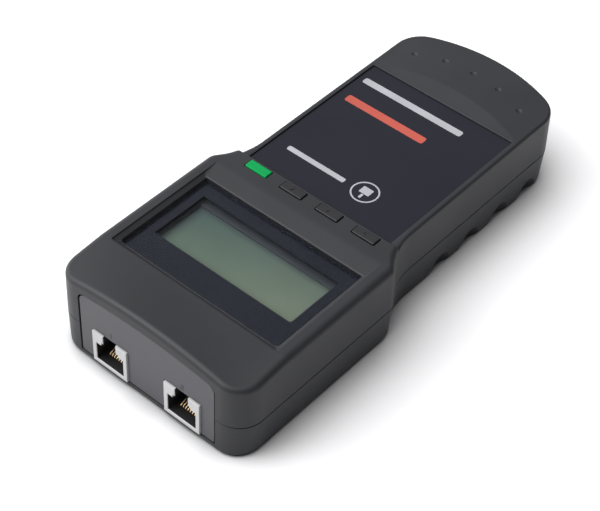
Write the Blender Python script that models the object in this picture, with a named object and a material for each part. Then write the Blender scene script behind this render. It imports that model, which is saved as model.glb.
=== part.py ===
"""Handheld network cable tester with an LCD window, four keys, two 8P8C ports and a 9 V battery.

Lengths are in millimetres and are scaled to metres when a mesh is made.
+Z is up out of the display, -Y is the port end, +Y is the far end of the handle.
The case rests on z = 0 and is centred on x = 0, y = 0. The front shell is the upper
one, the rear shell the lower one, and "left" is -X.
Each piece keeps its cuts and additions as live Booleans with hidden tool solids.
"""
import math

import bmesh
import bpy
import numpy as np

MM = 0.001
SIDES = ((-1, "left"), (1, "right"))

# ---------------------------------------------------------------- case dimensions (mm)
GAP = 0.3                 # general gap between neighbouring pieces
FIT = 0.15                # gap round the lens and the label in their recesses
WALL = 2.2                # case wall
PARTING_Z = 15.0          # parting plane between the two shells

HEAD_HALF = 41.1          # half width of the head at the parting line
HANDLE_HALF = 33.8        # half width of the handle at the parting line
PORT_Y = -92.7            # outer face of the port end
PORT_CORNER_R = 9.6       # corner radius at the port end
FAR_Y = 91.9              # crown of the end arc at the parting line
FAR_ARC_R = 71.0          # radius of the end arc in plan
FAR_CORNER_R = 12.0       # corner radius at the end of the handle

# the shoulder, where the head narrows into the handle: outer bend, slope, inner bend
SHOULDER_Y0 = -20.4
SHOULDER_ANGLE = math.radians(35.0)
SHOULDER_OUTER_R, SHOULDER_INNER_R = 5.0, 25.0
SHOULDER_R_SUM = SHOULDER_OUTER_R + SHOULDER_INNER_R
SHOULDER_SLOPE_X = (HEAD_HALF - HANDLE_HALF
                    - SHOULDER_R_SUM * (1 - math.cos(SHOULDER_ANGLE)))
SHOULDER_Y1 = (SHOULDER_Y0 + SHOULDER_R_SUM * math.sin(SHOULDER_ANGLE)
               + SHOULDER_SLOPE_X / math.tan(SHOULDER_ANGLE))

HEAD_Z = 33.8             # flat top of the head
RIM_Z = 31.8              # top of the handle's rim
STEP_Y = -10.9            # far edge of the head, where it drops to the handle
LIP_RISE = 2.5            # how far the port-end lip rises above the head's flat
LIP_CROWN = 0.0029        # crown of that lip, per mm of x squared
DRAFT_TOP = math.tan(math.radians(1.2))
DRAFT_BOTTOM = math.tan(math.radians(3.0))
FILLET_PORT, FILLET_HEAD, FILLET_HANDLE = 1.9, 2.6, 1.2   # rounding of the upper edge
FILLET_STEPS = 4
CEIL_HEAD, CEIL_WINDOW, CEIL_HANDLE = 31.2, 28.95, 28.6   # inner ceiling of the front shell
CEIL_KEYS = CEIL_HEAD - 0.2
CEIL_BEVEL = 1.5          # bevel between the inner wall and the ceiling

RIDGE_SIDE_Y, RIDGE_RISE_Y = 59.9, 6.4  # crescent ridge: its ends, and its apex beyond them
DOME_H = 1.2              # crown of the handle's end beyond the label
RAMP_SLOPE = 0.187        # slope from the label up to that crown

# window, display and label
LENS_HALF_X = 34.0
LENS_Y0, LENS_Y1 = -69.4, -28.1
LENS_TOP, LENS_T = 32.3, 1.5
RAMP_Y1 = -20.7           # where the ramp beyond the window reaches the head's flat
VIEW_HALF_X = 29.7        # clear area of the lens
VIEW_Y0, VIEW_Y1 = -57.5, -33.95
LCD_TOP = 28.3
LCD_HALF_X, LCD_Y0, LCD_Y1 = 30.4, -59.2, -34.4
BACKLIGHT_Z0 = LCD_TOP - 6.2
LCD_BOARD_Z0 = LCD_TOP - 8.1
LABEL_HALF_X = 31.1
LABEL_Y0, LABEL_Y1 = -10.5, 58.7
LABEL_TOP, LABEL_T = 31.3, 0.6

# main board
BOARD_HALF_X, BOARD_Y0, BOARD_Y1 = 30.5, -88.4, -8.6
BOARD_Z0, BOARD_T = 15.75, 1.6
BOARD_TOP = BOARD_Z0 + BOARD_T
PART_Z0 = BOARD_TOP + 0.15              # underside of the parts on the board

# keys and their switches
KEY_X0, KEY_PITCH = -23.09, 15.72
KEY_W, KEY_D = 9.3, 3.7
KEY_Y = -13.75
KEY_TOP = 34.2
KEY_FLANGE_T = 1.0
KEY_FLANGE_Z0 = CEIL_KEYS - GAP - KEY_FLANGE_T
SWITCH_TOP = PART_Z0 + 3.5
SWITCH_HALF = 3.0
PLUNGER_TOP = 26.8

# port panel and jacks
PANEL_HALF_X = 29.5
PANEL_Z0, PANEL_TOP = 2.65, 31.1
PANEL_CROWN = 0.0024      # fall of the panel's arched top, per mm of x squared
PANEL_CORNER_R = 3.0
JACK_X = 15.94
JACK_W, JACK_H, JACK_L = 15.4, 13.9, 20.6
JACK_Z0 = 2.55
JACK_Y0 = PORT_Y - 0.5

# battery, its bay and its door
BAY_HALF = 15.2           # half width of the battery opening
BAY_Y0, BAY_Y1 = 18.0, 80.0
DOOR_Z0, DOOR_Z1 = 0.25, 1.85
BATTERY_HALF, BATTERY_L = 13.25, 46.2
BATTERY_Y0, BATTERY_Z0, BATTERY_Z1 = 27.6, 2.5, 20.0
BATTERY_MID_Z = (BATTERY_Z0 + BATTERY_Z1) / 2
TERMINAL_X = 6.35

# screws, as (x, y)
CASE_SCREWS = [(-34.2, -79.2), (34.2, -79.2), (-24.8, 76.4), (24.8, 76.4)]
BOARD_SCREWS = [(-26.4, -66.2), (26.4, -66.2), (-26.4, -23.9), (26.4, -23.9)]
CASE_POST_R = 3.1
CASE_POST_Z0 = PARTING_Z - 1.0          # where the front shell's screw posts end

# finger scallops along the lower edge of the handle
GRIP_Y0, GRIP_PITCH, GRIP_COUNT = 19.3, 17.3, 4
DIMPLES = [(-1.0, 79.0), (-12.9, 77.8), (11.1, 77.8), (-24.0, 73.5), (23.4, 73.7)]  # (x, y)

for old in list(bpy.data.objects):
    bpy.data.objects.remove(old, do_unlink=True)

# ---------------------------------------------------------------- materials


def material(name, rgb, rough, metal=0.0, alpha=1.0):
    mat = bpy.data.materials.new(name)
    mat.use_nodes = True
    bsdf = mat.node_tree.nodes["Principled BSDF"]
    bsdf.inputs["Base Color"].default_value = (*rgb, 1.0)
    bsdf.inputs["Roughness"].default_value = rough
    bsdf.inputs["Metallic"].default_value = metal
    bsdf.inputs["Alpha"].default_value = alpha
    mat.diffuse_color = (*rgb, alpha)
    return mat


CASE_GREY = material("case_grey", rgb=(0.055, 0.057, 0.060), rough=0.5)
PANEL_GREY = material("panel_grey", rgb=(0.075, 0.075, 0.082), rough=0.5)
NAVY = material("label_navy", rgb=(0.022, 0.024, 0.036), rough=0.4)
LENS = material("window_clear", rgb=(0.03, 0.035, 0.05), rough=0.1, alpha=0.4)
LCD_GREEN = material("lcd_green", rgb=(0.16, 0.24, 0.17), rough=0.25)
GREEN = material("key_green", rgb=(0.0, 0.42, 0.11), rough=0.4)
KEY_GREY = material("key_grey", rgb=(0.060, 0.060, 0.064), rough=0.5)
JACK_GREY = material("jack_grey", rgb=(0.68, 0.68, 0.70), rough=0.45)
GOLD = material("contact_gold", rgb=(0.83, 0.58, 0.22), rough=0.25, metal=1.0)
STEEL = material("zinc_steel", rgb=(0.60, 0.60, 0.62), rough=0.35, metal=1.0)
BLACK = material("black_plastic", rgb=(0.012, 0.012, 0.013), rough=0.45)
WHITE = material("white_plastic", rgb=(0.78, 0.78, 0.76), rough=0.5)
BOARD_GREEN = material("board_green", rgb=(0.015, 0.11, 0.045), rough=0.4)
EPOXY = material("chip_epoxy", rgb=(0.02, 0.02, 0.022), rough=0.6)
CAN = material("battery_can", rgb=(0.10, 0.11, 0.13), rough=0.35, metal=0.6)
RED = material("lead_red", rgb=(0.55, 0.02, 0.015), rough=0.5)
FOAM = material("grey_foam", rgb=(0.11, 0.11, 0.12), rough=0.95)

# ---------------------------------------------------------------- shapes
# A shape is a pair (verts, faces), in millimetres.


def merge(*shapes):
    """Several separate solids as one shape."""
    verts, faces = [], []
    for part_verts, part_faces in shapes:
        base = len(verts)
        verts += list(part_verts)
        faces += [[i + base for i in face] for face in part_faces]
    return verts, faces


def loft(rings, closed_ends=True):
    """Rings of equal length, joined by quads, with a flat face at each end."""
    n = len(rings[0])
    verts = [point for ring in rings for point in ring]
    faces = []
    for k in range(len(rings) - 1):
        a, b = k * n, (k + 1) * n
        for i in range(n):
            j = (i + 1) % n
            faces.append([a + i, a + j, b + j, b + i])
    if closed_ends:
        faces.append(list(range(n)))
        faces.append(list(range((len(rings) - 1) * n, len(rings) * n)))
    return verts, faces


def prism_x(outline_yz, x0, x1):
    return loft([[(x, y, z) for y, z in outline_yz] for x in (x0, x1)])


def prism_y(outline_xz, y0, y1):
    return loft([[(x, y, z) for x, z in outline_xz] for y in (y0, y1)])


def inset_outline(points, inset):
    """Moves each point inward, square to the line between its neighbours."""
    out = []
    for i, (x, y) in enumerate(points):
        before, after = points[i - 1], points[(i + 1) % len(points)]
        along_x, along_y = after[0] - before[0], after[1] - before[1]
        length = math.hypot(along_x, along_y)
        out.append((x - along_y / length * inset, y + along_x / length * inset))
    return out


def prism_z(outline_xy, z0, z1, chamfer=0.0):
    """Prism on a plan outline; chamfer breaks its top edge."""
    levels = [(outline_xy, z0), (outline_xy, z1)]
    if chamfer:
        levels = [(outline_xy, z0), (outline_xy, z1 - chamfer),
                  (inset_outline(outline_xy, chamfer), z1)]
    return loft([[(x, y, z) for x, y in points] for points, z in levels])


def box(x0, x1, y0, y1, z0, z1):
    return prism_z([(x0, y0), (x1, y0), (x1, y1), (x0, y1)], z0, z1)


def chamfer_box(x0, x1, y0, y1, z0, z1, chamfer, bottom=False):
    """Box with its top edges, and on request its bottom edges, broken."""
    levels = [(chamfer, z0), (0, z0 + chamfer)] if bottom else [(0, z0)]
    levels += [(0, z1 - chamfer), (chamfer, z1)]
    return loft([[(x0 + d, y0 + d, z), (x1 - d, y0 + d, z), (x1 - d, y1 - d, z),
                  (x0 + d, y1 - d, z)] for d, z in levels])


def rounded(x0, x1, y0, y1, radius, segs):
    """Counter-clockwise rounded rectangle; one radius, or four from the (x0, y0) corner round."""
    radii = [radius] * 4 if isinstance(radius, (int, float)) else radius
    corners = [(x0, y0, 180), (x1, y0, 270), (x1, y1, 0), (x0, y1, 90)]
    points = []
    for (x, y, start), r in zip(corners, radii):
        centre_x = x + r if x == x0 else x - r
        centre_y = y + r if y == y0 else y - r
        for k in range(segs + 1):
            a = math.radians(start + 90.0 * k / segs)
            points.append((centre_x + r * math.cos(a), centre_y + r * math.sin(a)))
    return points


def turned(profile, centre, axis="z", segs=16):
    """Solid of revolution about z or y: profile is (radius, height) from end to end."""
    x, y, z = centre
    rings = []
    for radius, height in profile:
        ring = []
        for k in range(segs):
            a = 2 * math.pi * (k + 0.5) / segs
            u, v = radius * math.cos(a), radius * math.sin(a)
            if axis == "z":
                ring.append((x + u, y + v, z + height))
            else:
                ring.append((x + u, y + height, z + v))
        rings.append(ring)
    return loft(rings)


def ball(centre, radii, segs, rows):
    """Ellipsoid cut flat just short of its poles."""
    rings = []
    for k in range(rows + 1):
        t = math.radians(-86 + 172.0 * k / rows)
        rings.append([(centre[0] + radii[0] * math.cos(t) * math.cos(2 * math.pi * i / segs),
                       centre[1] + radii[1] * math.cos(t) * math.sin(2 * math.pi * i / segs),
                       centre[2] + radii[2] * math.sin(t)) for i in range(segs)])
    return loft(rings)


def span(side, near, far):
    """Two distances from x = 0 as an ascending x range on one side (-1 or 1)."""
    return sorted((side * near, side * far))


# ---------------------------------------------------------------- objects


def make(name, shape, mat, origin=(0.0, 0.0, 0.0), smooth=None):
    """Object from a shape; smooth is the angle in degrees above which edges stay sharp."""
    verts, faces = shape
    mesh = bpy.data.meshes.new(name)
    mesh.from_pydata([[(p - o) * MM for p, o in zip(point, origin)] for point in verts],
                     [], faces)
    edit = bmesh.new()
    edit.from_mesh(mesh)
    bmesh.ops.remove_doubles(edit, verts=edit.verts, dist=1e-7)
    bmesh.ops.recalc_face_normals(edit, faces=edit.faces)
    edit.to_mesh(mesh)
    edit.free()
    piece = bpy.data.objects.new(name, mesh)
    piece.location = [o * MM for o in origin]
    bpy.context.scene.collection.objects.link(piece)
    mesh.materials.append(mat)
    if smooth is not None:
        mesh.shade_smooth()
        mesh.set_sharp_from_angle(angle=math.radians(smooth))
    return piece


def boolean(piece, name, shape, operation="DIFFERENCE"):
    """Adds an exact Boolean with a hidden tool solid."""
    tool = make(name, shape, BLACK)
    tool.hide_render = True
    tool.display_type = "WIRE"
    mod = piece.modifiers.new(name, "BOOLEAN")
    mod.operation = operation
    mod.solver = "EXACT"
    mod.object = tool


# ---------------------------------------------------------------- case outline
COLS = 14                                # quads across the case's top surface
FRACS = [-1 + 2.0 * j / COLS for j in range(COLS + 1)]
PORT_HALF = HEAD_HALF - PORT_CORNER_R    # half width of the straight port edge
PORT_CORNER_Y = PORT_Y + PORT_CORNER_R
# centres of the end arc and of the corner tangent to it, and where the two meet
FAR_ARC_Y = FAR_Y - FAR_ARC_R
FAR_CORNER_X = HANDLE_HALF - FAR_CORNER_R
FAR_CORNER_Y = FAR_ARC_Y + math.sqrt((FAR_ARC_R - FAR_CORNER_R) ** 2 - FAR_CORNER_X ** 2)
FAR_ANGLE = math.atan2(FAR_CORNER_Y - FAR_ARC_Y, FAR_CORNER_X)
FAR_JOIN_X = FAR_CORNER_X + FAR_CORNER_R * math.cos(FAR_ANGLE)
FAR_JOIN_Y = FAR_CORNER_Y + FAR_CORNER_R * math.sin(FAR_ANGLE)

# y stations along the side; the close pairs bracket steps in the surfaces
SIDE_STATIONS = [
    PORT_CORNER_Y, -76.0, -72.8, -72.2, -60.0, -44.0, -27.4, -26.8,
    SHOULDER_Y0, SHOULDER_Y0 + 1.4, SHOULDER_Y0 + 2.86, SHOULDER_Y0 + 5.5,
    STEP_Y - 2.0, STEP_Y, STEP_Y + 0.2,
    *np.linspace(STEP_Y + 2.2, SHOULDER_Y1, 5),
    15.0, 30.0, 45.0, LABEL_Y1 + FIT, RIDGE_SIDE_Y, 64.0, 70.0, FAR_CORNER_Y - 2,
]


def smooth01(t):
    t = min(1.0, max(0.0, t))
    return t * t * (3 - 2 * t)


def half_width(y):
    """Half width at the parting line."""
    past, left = y - SHOULDER_Y0, SHOULDER_Y1 - y
    bend = SHOULDER_OUTER_R * math.sin(SHOULDER_ANGLE)
    if past <= 0:
        return HEAD_HALF
    if left <= 0:
        return HANDLE_HALF
    if past < bend:
        return HEAD_HALF - SHOULDER_OUTER_R + math.sqrt(SHOULDER_OUTER_R ** 2 - past * past)
    if left < SHOULDER_INNER_R * math.sin(SHOULDER_ANGLE):
        return HANDLE_HALF + SHOULDER_INNER_R - math.sqrt(SHOULDER_INNER_R ** 2 - left * left)
    return (HEAD_HALF - SHOULDER_OUTER_R * (1 - math.cos(SHOULDER_ANGLE))
            - (past - bend) * math.tan(SHOULDER_ANGLE))


def ceiling(y):
    """Height of the front shell's inner ceiling."""
    if y < -72.5:
        return CEIL_HEAD
    if y < -27.0:
        return CEIL_WINDOW
    if y < STEP_Y + 0.1:
        return CEIL_KEYS
    return CEIL_HANDLE


def corner_row(centre_x, centre_y, radius, angle):
    nx, ny = math.cos(angle), math.sin(angle)
    return centre_x + radius * nx, centre_y + radius * ny, nx, ny


def side_rows():
    """The +X side from the port end to the far end, as (x, y, normal x, normal y)."""
    rows = [corner_row(PORT_HALF, PORT_CORNER_Y, PORT_CORNER_R,
                       -math.pi / 2 + math.pi / 2 * k / 8) for k in range(1, 8)]
    for y in SIDE_STATIONS:
        # offsets here run along x alone, lengthened to suit the slope of the side
        slope = (half_width(y + 0.01) - half_width(y - 0.01)) / 0.02
        rows.append((half_width(y), y, math.sqrt(1 + slope * slope), 0.0))
    rows += [corner_row(FAR_CORNER_X, FAR_CORNER_Y, FAR_CORNER_R, FAR_ANGLE * k / 6)
             for k in range(6)]
    return rows


SIDE = side_rows()
ROWS = len(SIDE)


def outline():
    """Boundary (x, y, normal x, normal y, draft weight), counter-clockwise from (-X, -Y).

    The draft weight falls to nothing on the port face.
    """
    points = [(f * PORT_HALF, PORT_Y, 0.0, -1.0) for f in FRACS]
    points += SIDE
    for f in reversed(FRACS):
        x = f * FAR_JOIN_X
        a = math.acos(x / FAR_ARC_R)
        points.append((x, FAR_ARC_Y + FAR_ARC_R * math.sin(a), math.cos(a), math.sin(a)))
    points += [(-x, y, -nx, ny) for x, y, nx, ny in reversed(SIDE)]
    return [(x, y, nx, ny, 1 - max(0.0, -ny) ** 2) for x, y, nx, ny in points]


EDGE = outline()


def case_ring(z, inset, draft=0.0):
    """One loop of the case, moved in by inset plus weighted draft; z and draft may depend on y."""
    out = []
    for x, y, nx, ny, weight in EDGE:
        d = (draft(y) if callable(draft) else draft) * weight + inset
        out.append((x - nx * d, y - ny * d, z(y) if callable(z) else z))
    return out


def row_bows():
    """How far the middle of each grid row bulges towards +Y beyond its ends."""
    bows = []
    far_bow = FAR_Y - FAR_JOIN_Y
    for _, y, _, _ in SIDE:
        if y < RIDGE_SIDE_Y - 0.01:
            bows.append(0.0)
        elif y < RIDGE_SIDE_Y + 0.01:
            bows.append(RIDGE_RISE_Y)
        else:
            t = (y - RIDGE_SIDE_Y) / (FAR_JOIN_Y - RIDGE_SIDE_Y)
            bows.append(RIDGE_RISE_Y + (far_bow - RIDGE_RISE_Y) * t)
    return bows


BOWS = row_bows()


def add_cap(verts, faces, base, height):
    """Closes the loop that starts at vertex base with a grid; height is given x, y and row."""
    across = COLS + 1
    loop = verts[base:base + len(EDGE)]
    grid_base = len(verts)
    for k in range(ROWS):
        right_x, side_y, _ = loop[across + k]
        left_x = loop[2 * across + ROWS + (ROWS - 1 - k)][0]
        for f in FRACS[1:-1]:
            x = left_x + (right_x - left_x) * (f + 1) / 2
            y = side_y + BOWS[k] * (1 - f * f)
            verts.append((x, y, height(x, y, k)))

    def at(row, col):
        if row == 0:
            return base + col
        if row == ROWS + 1:
            return base + across + ROWS + (across - 1 - col)
        if col == 0:
            return base + 2 * across + ROWS + (ROWS - row)
        if col == across - 1:
            return base + across + row - 1
        return grid_base + (row - 1) * (across - 2) + (col - 1)

    for r in range(ROWS + 1):
        for c in range(COLS):
            faces.append([at(r, c), at(r, c + 1), at(r + 1, c + 1), at(r + 1, c)])


def top_z(x, y):
    """Height of the case's top surface."""
    lip_y = LENS_Y0 - 1.5     # where the lip starts to rise towards the port end
    if y < lip_y:
        t = min(1.0, (lip_y - y) / (lip_y - PORT_Y - FILLET_PORT))
        return HEAD_Z + t ** 1.2 * (LIP_RISE - LIP_CROWN * x * x)
    if y < STEP_Y + 1e-6:
        return HEAD_Z
    if y < LABEL_Y1 + FIT + 0.01:
        return RIM_Z
    dome_half = HANDLE_HALF - 2.4
    ramp = RIM_Z - 0.22 + (y - LABEL_Y1) * RAMP_SLOPE
    fall = 1 - 0.55 * smooth01((y - 68.0) / 26.0)
    dome = RIM_Z + DOME_H * max(0.0, 1 - (x / dome_half) ** 2) * fall
    return min(ramp, dome) if abs(x) < dome_half else RIM_Z


def fillet_r(y):
    """Radius of the upper edge, blended from the port end to the head to the handle."""
    head = FILLET_PORT + (FILLET_HEAD - FILLET_PORT) * smooth01((y - PORT_Y) / PORT_CORNER_R)
    return head + (FILLET_HANDLE - head) * smooth01((y + 16.0) / 10.0)


# ---------------------------------------------------------------- openings in the case


def window_outline(grow):
    """Plan of the window recess, rounded at the port end and nearly square at the far end."""
    side = LENS_HALF_X + FIT + grow
    return rounded(-side, side, LENS_Y0 - FIT - grow, LENS_Y1 + FIT,
                   [2.0 + grow, 2.0 + grow, 0.6, 0.6], segs=5)


def window_recess():
    """Sunken window: 45-degree walls on three sides, upright at the far end."""
    return loft([[(x, y, z) for x, y in window_outline(z - LENS_TOP)]
                 for z in (LENS_TOP, 40.0)])


def ramp_cut():
    """Slope from the window's far edge up to the head's flat, between 45-degree cheeks."""
    z0 = LENS_TOP + 0.4
    top = 40.0
    end_y = RAMP_Y1 + 6.0
    slope = (HEAD_Z - z0) / (RAMP_Y1 - LENS_Y1)
    stations = [(LENS_Y1 - 6.0, z0), (LENS_Y1 + FIT, z0), (end_y, z0 + slope * (end_y - LENS_Y1))]
    half_top = LENS_HALF_X + FIT + (top - LENS_TOP)
    rings = []
    for y, z in stations:
        half = LENS_HALF_X + FIT + (z - LENS_TOP)
        rings.append([(-half, y, z), (half, y, z), (half_top, y, top), (-half_top, y, top)])
    return loft(rings)


def panel_outline(grow, z_low):
    """Port panel as (x, z): straight foot, rounded upper corners and an arched top."""
    half = PANEL_HALF_X + grow
    r = PANEL_CORNER_R

    def arch(x):
        return PANEL_TOP + grow - PANEL_CROWN * x * x

    side_top = arch(half - r) - r
    angles = [math.radians(90.0 * k / 4) for k in (1, 2, 3)]
    corner = [(half - r + r * math.cos(a), side_top + r * math.sin(a)) for a in angles]
    points = [(-half, z_low), (half, z_low), (half, side_top)] + corner
    for k in range(13):
        x = (half - r) * (1 - 2.0 * k / 12)
        points.append((x, arch(x)))
    points += [(-x, z) for x, z in reversed(corner)]
    points.append((-half, side_top))
    return points


def port_opening(depth):
    return prism_y(panel_outline(GAP, PANEL_Z0 - 0.35), PORT_Y - 5.0, PORT_Y + depth)


# ---------------------------------------------------------------- front shell
def front_shell_shape():
    def drift(z):
        return (z - PARTING_Z) * DRAFT_TOP

    # outer wall, then the fillet, level with the top where it ends
    outer = [case_ring(PARTING_Z + GAP / 2, 0)]
    for k in range(FILLET_STEPS + 1):
        a = math.radians(90.0 * k / FILLET_STEPS)
        loop = []
        for x, y, nx, ny, weight in EDGE:
            r = fillet_r(y)
            base = drift(top_z(x, y) - r) * weight
            z_end = top_z(x - nx * (base + r), y - ny * (base + r))
            d = base + r * (1 - math.cos(a))
            loop.append((x - nx * d, y - ny * d, z_end - r * (1 - math.sin(a))))
        outer.append(loop)

    # rabbet over the rear shell's tongue, then the inner wall up to the ceiling
    rabbet, rabbet_top = 1.05, PARTING_Z + 1.5

    def wall_top(y):
        return ceiling(y) - CEIL_BEVEL

    def wall_drift(y):
        return drift(wall_top(y))

    inner = [case_ring(PARTING_Z + GAP / 2, rabbet),
             case_ring(rabbet_top, rabbet),
             case_ring(rabbet_top, WALL, drift(rabbet_top)),
             case_ring(wall_top, WALL, wall_drift),
             case_ring(ceiling, WALL + CEIL_BEVEL, wall_drift)]
    loops = inner[::-1] + outer
    verts, faces = loft(loops, closed_ends=False)
    add_cap(verts, faces, (len(loops) - 1) * len(EDGE), lambda x, y, k: top_z(x, y))
    add_cap(verts, faces, 0, lambda x, y, k: ceiling(SIDE[k][1]))
    return verts, faces


def screw_posts():
    """Posts under the ceiling that the board and case screws drive into."""
    rows = [(x, y, 2.9, BOARD_TOP + GAP) for x, y in BOARD_SCREWS]
    rows += [(x, y, CASE_POST_R, CASE_POST_Z0) for x, y in CASE_SCREWS]
    return merge(*[turned([(r, z0), (r, ceiling(y) + 0.7)], (x, y, 0)) for x, y, r, z0 in rows])


def pilot_holes():
    board = [(1.35, 10.0), (1.35, BOARD_TOP + GAP + 6.5)]
    case = [(1.65, 8.0), (1.65, PARTING_Z + 9.5)]
    return merge(*[turned(profile, (x, y, 0), segs=12)
                   for profile, places in ((board, BOARD_SCREWS), (case, CASE_SCREWS))
                   for x, y in places])


def key_holes():
    half_w, half_d = KEY_W / 2 + GAP, KEY_D / 2 + GAP
    centres = [KEY_X0 + i * KEY_PITCH for i in range(4)]
    return merge(*[box(x - half_w, x + half_w, KEY_Y - half_d, KEY_Y + half_d, 24.0, 40.0)
                   for x in centres])


def dimples():
    """Shallow round dimples in the crown at the handle's end."""
    r = 2.15
    return merge(*[ball((x, y, top_z(x, y) + 1.75), (r, r, r), segs=16, rows=10)
                   for x, y in DIMPLES])


def build_front_shell():
    shell = make("front_shell", front_shell_shape(), CASE_GREY, smooth=35)
    boolean(shell, "tool_front_posts", screw_posts(), "UNION")
    boolean(shell, "tool_front_pilots", pilot_holes())
    boolean(shell, "tool_window_recess", window_recess())
    boolean(shell, "tool_ramp", ramp_cut())
    boolean(shell, "tool_lens_pocket",
            prism_z(window_outline(0), LENS_TOP - LENS_T - 0.2, LENS_TOP + 0.6))
    margin = 0.6
    boolean(shell, "tool_view_opening",
            box(-VIEW_HALF_X - margin, VIEW_HALF_X + margin,
                VIEW_Y0 - margin, VIEW_Y1 + margin, 20.0, LENS_TOP))
    boolean(shell, "tool_label_recess",
            box(-LABEL_HALF_X - FIT, LABEL_HALF_X + FIT,
                STEP_Y - 0.05, LABEL_Y1 + FIT, LABEL_TOP - LABEL_T - GAP, 40.0))
    boolean(shell, "tool_button_holes", key_holes())
    boolean(shell, "tool_port_opening_front", port_opening(3.0))
    boolean(shell, "tool_dimples", dimples())


# ---------------------------------------------------------------- rear shell
def rear_shell_shape():
    rings = []
    # rounded foot, smaller on the port face
    for k in range(FILLET_STEPS + 1):
        a = math.radians(90.0 * k / FILLET_STEPS)
        loop = []
        for x, y, nx, ny, weight in EDGE:
            r = 2.2 + 0.6 * weight
            d = (PARTING_Z - r) * DRAFT_BOTTOM * weight + r * (1 - math.sin(a))
            loop.append((x - nx * d, y - ny * d, r * (1 - math.cos(a))))
        rings.append(loop)
    # outer wall, tongue at the parting line, then the inside down to the floor
    tongue, tongue_top = 1.25, PARTING_Z + 1.2
    rings += [case_ring(z, inset, draft) for z, inset, draft in (
        (PARTING_Z - GAP / 2, 0, 0),
        (PARTING_Z - GAP / 2, tongue, 0),
        (tongue_top, tongue, 0),
        (tongue_top, WALL, 0),
        (9.5, WALL, 0.6),
        (4.6, WALL, 3.4),
        (2.2, WALL, 5.6))]
    return loft(rings)


def rear_bosses():
    """Screw bosses, and the walls of the battery bay with a gap in the one towards -Y."""
    wall_z = (1.2, 13.6)
    wall_y0 = BAY_Y0 - 1.9
    end_wall_y1 = BAY_Y0 - 0.3
    gap_half = 7.0
    boss = [(4.2, 0.8), (4.2, 9.5), (CASE_POST_R, 9.5), (CASE_POST_R, CASE_POST_Z0 - GAP)]
    shapes = [turned(boss, (x, y, 0)) for x, y in CASE_SCREWS]
    for side, _ in SIDES:
        shapes.append(box(*span(side, BAY_HALF + 0.3, BAY_HALF + 1.9),
                          wall_y0, BAY_Y1 - 4.0, *wall_z))
    for side, _ in SIDES:
        shapes.append(box(*span(side, gap_half, BAY_HALF + 1.0), wall_y0, end_wall_y1, *wall_z))
    return shapes


def grip_scallops():
    return merge(*[ball((side * 39.2, GRIP_Y0 + i * GRIP_PITCH, 0.6), (8.2, 7.4, 9.0),
                        segs=24, rows=14)
                   for i in range(GRIP_COUNT) for side, _ in SIDES])


def build_rear_shell():
    shell = make("rear_shell", rear_shell_shape(), CASE_GREY, smooth=35)
    for i, shape in enumerate(rear_bosses()):
        boolean(shell, f"tool_rear_boss_{i}", shape, "UNION")
    boolean(shell, "tool_port_opening_rear", port_opening(8.4))
    boolean(shell, "tool_bay_opening", box(-BAY_HALF, BAY_HALF, BAY_Y0, BAY_Y1, -3.0, 2.6))
    bore = [(3.2, -3.0), (3.2, 5.0), (1.75, 5.0), (1.75, 20.0)]
    boolean(shell, "tool_screw_bores", merge(*[turned(bore, (x, y, 0)) for x, y in CASE_SCREWS]))
    boolean(shell, "tool_grip_scallops", grip_scallops())


# ---------------------------------------------------------------- port panel and jacks
def build_port_panel():
    inside = PORT_Y + WALL
    panel = make("port_panel", prism_y(panel_outline(0.0, PANEL_Z0), PORT_Y + 0.25, inside + 0.6),
                 PANEL_GREY, smooth=30)
    # flange that bears on the inside of the case wall
    half = PANEL_HALF_X + 1.2
    flange = rounded(-half, half, PANEL_Z0 + 3.2, CEIL_HEAD - 2.0, 1.0, segs=2)
    boolean(panel, "tool_panel_flange", prism_y(flange, inside + 0.3, inside + 1.7), "UNION")
    slack = 0.25
    half_slot = JACK_W / 2 + slack
    slots = [box(side * JACK_X - half_slot, side * JACK_X + half_slot,
                 PORT_Y - 2, PORT_Y + 6, -2.0, JACK_Z0 + JACK_H + slack) for side, _ in SIDES]
    boolean(panel, "tool_panel_slots", merge(*slots))


# plug opening with its latch slot, as (x from the jack's centre, z from its foot)
JACK_CAVITY = [
    (-6.0, 1.6), (6.0, 1.6), (6.0, 9.2), (3.7, 9.2), (3.7, 10.4), (2.8, 10.4),
    (2.8, JACK_H + 2.0), (-2.8, JACK_H + 2.0), (-2.8, 10.4), (-3.7, 10.4), (-3.7, 9.2), (-6.0, 9.2),
]
# one sloping contact wire, as (y from the jack's face, z from its foot)
CONTACT_WIRE = [
    (4.0, 1.8), (3.4, 2.1), (3.7, 2.6), (12.6, 5.9), (13.6, 5.9), (13.6, 5.5), (12.7, 5.5),
]
CONTACT_PITCH, CONTACT_HALF_W = 1.02, 0.2


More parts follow.
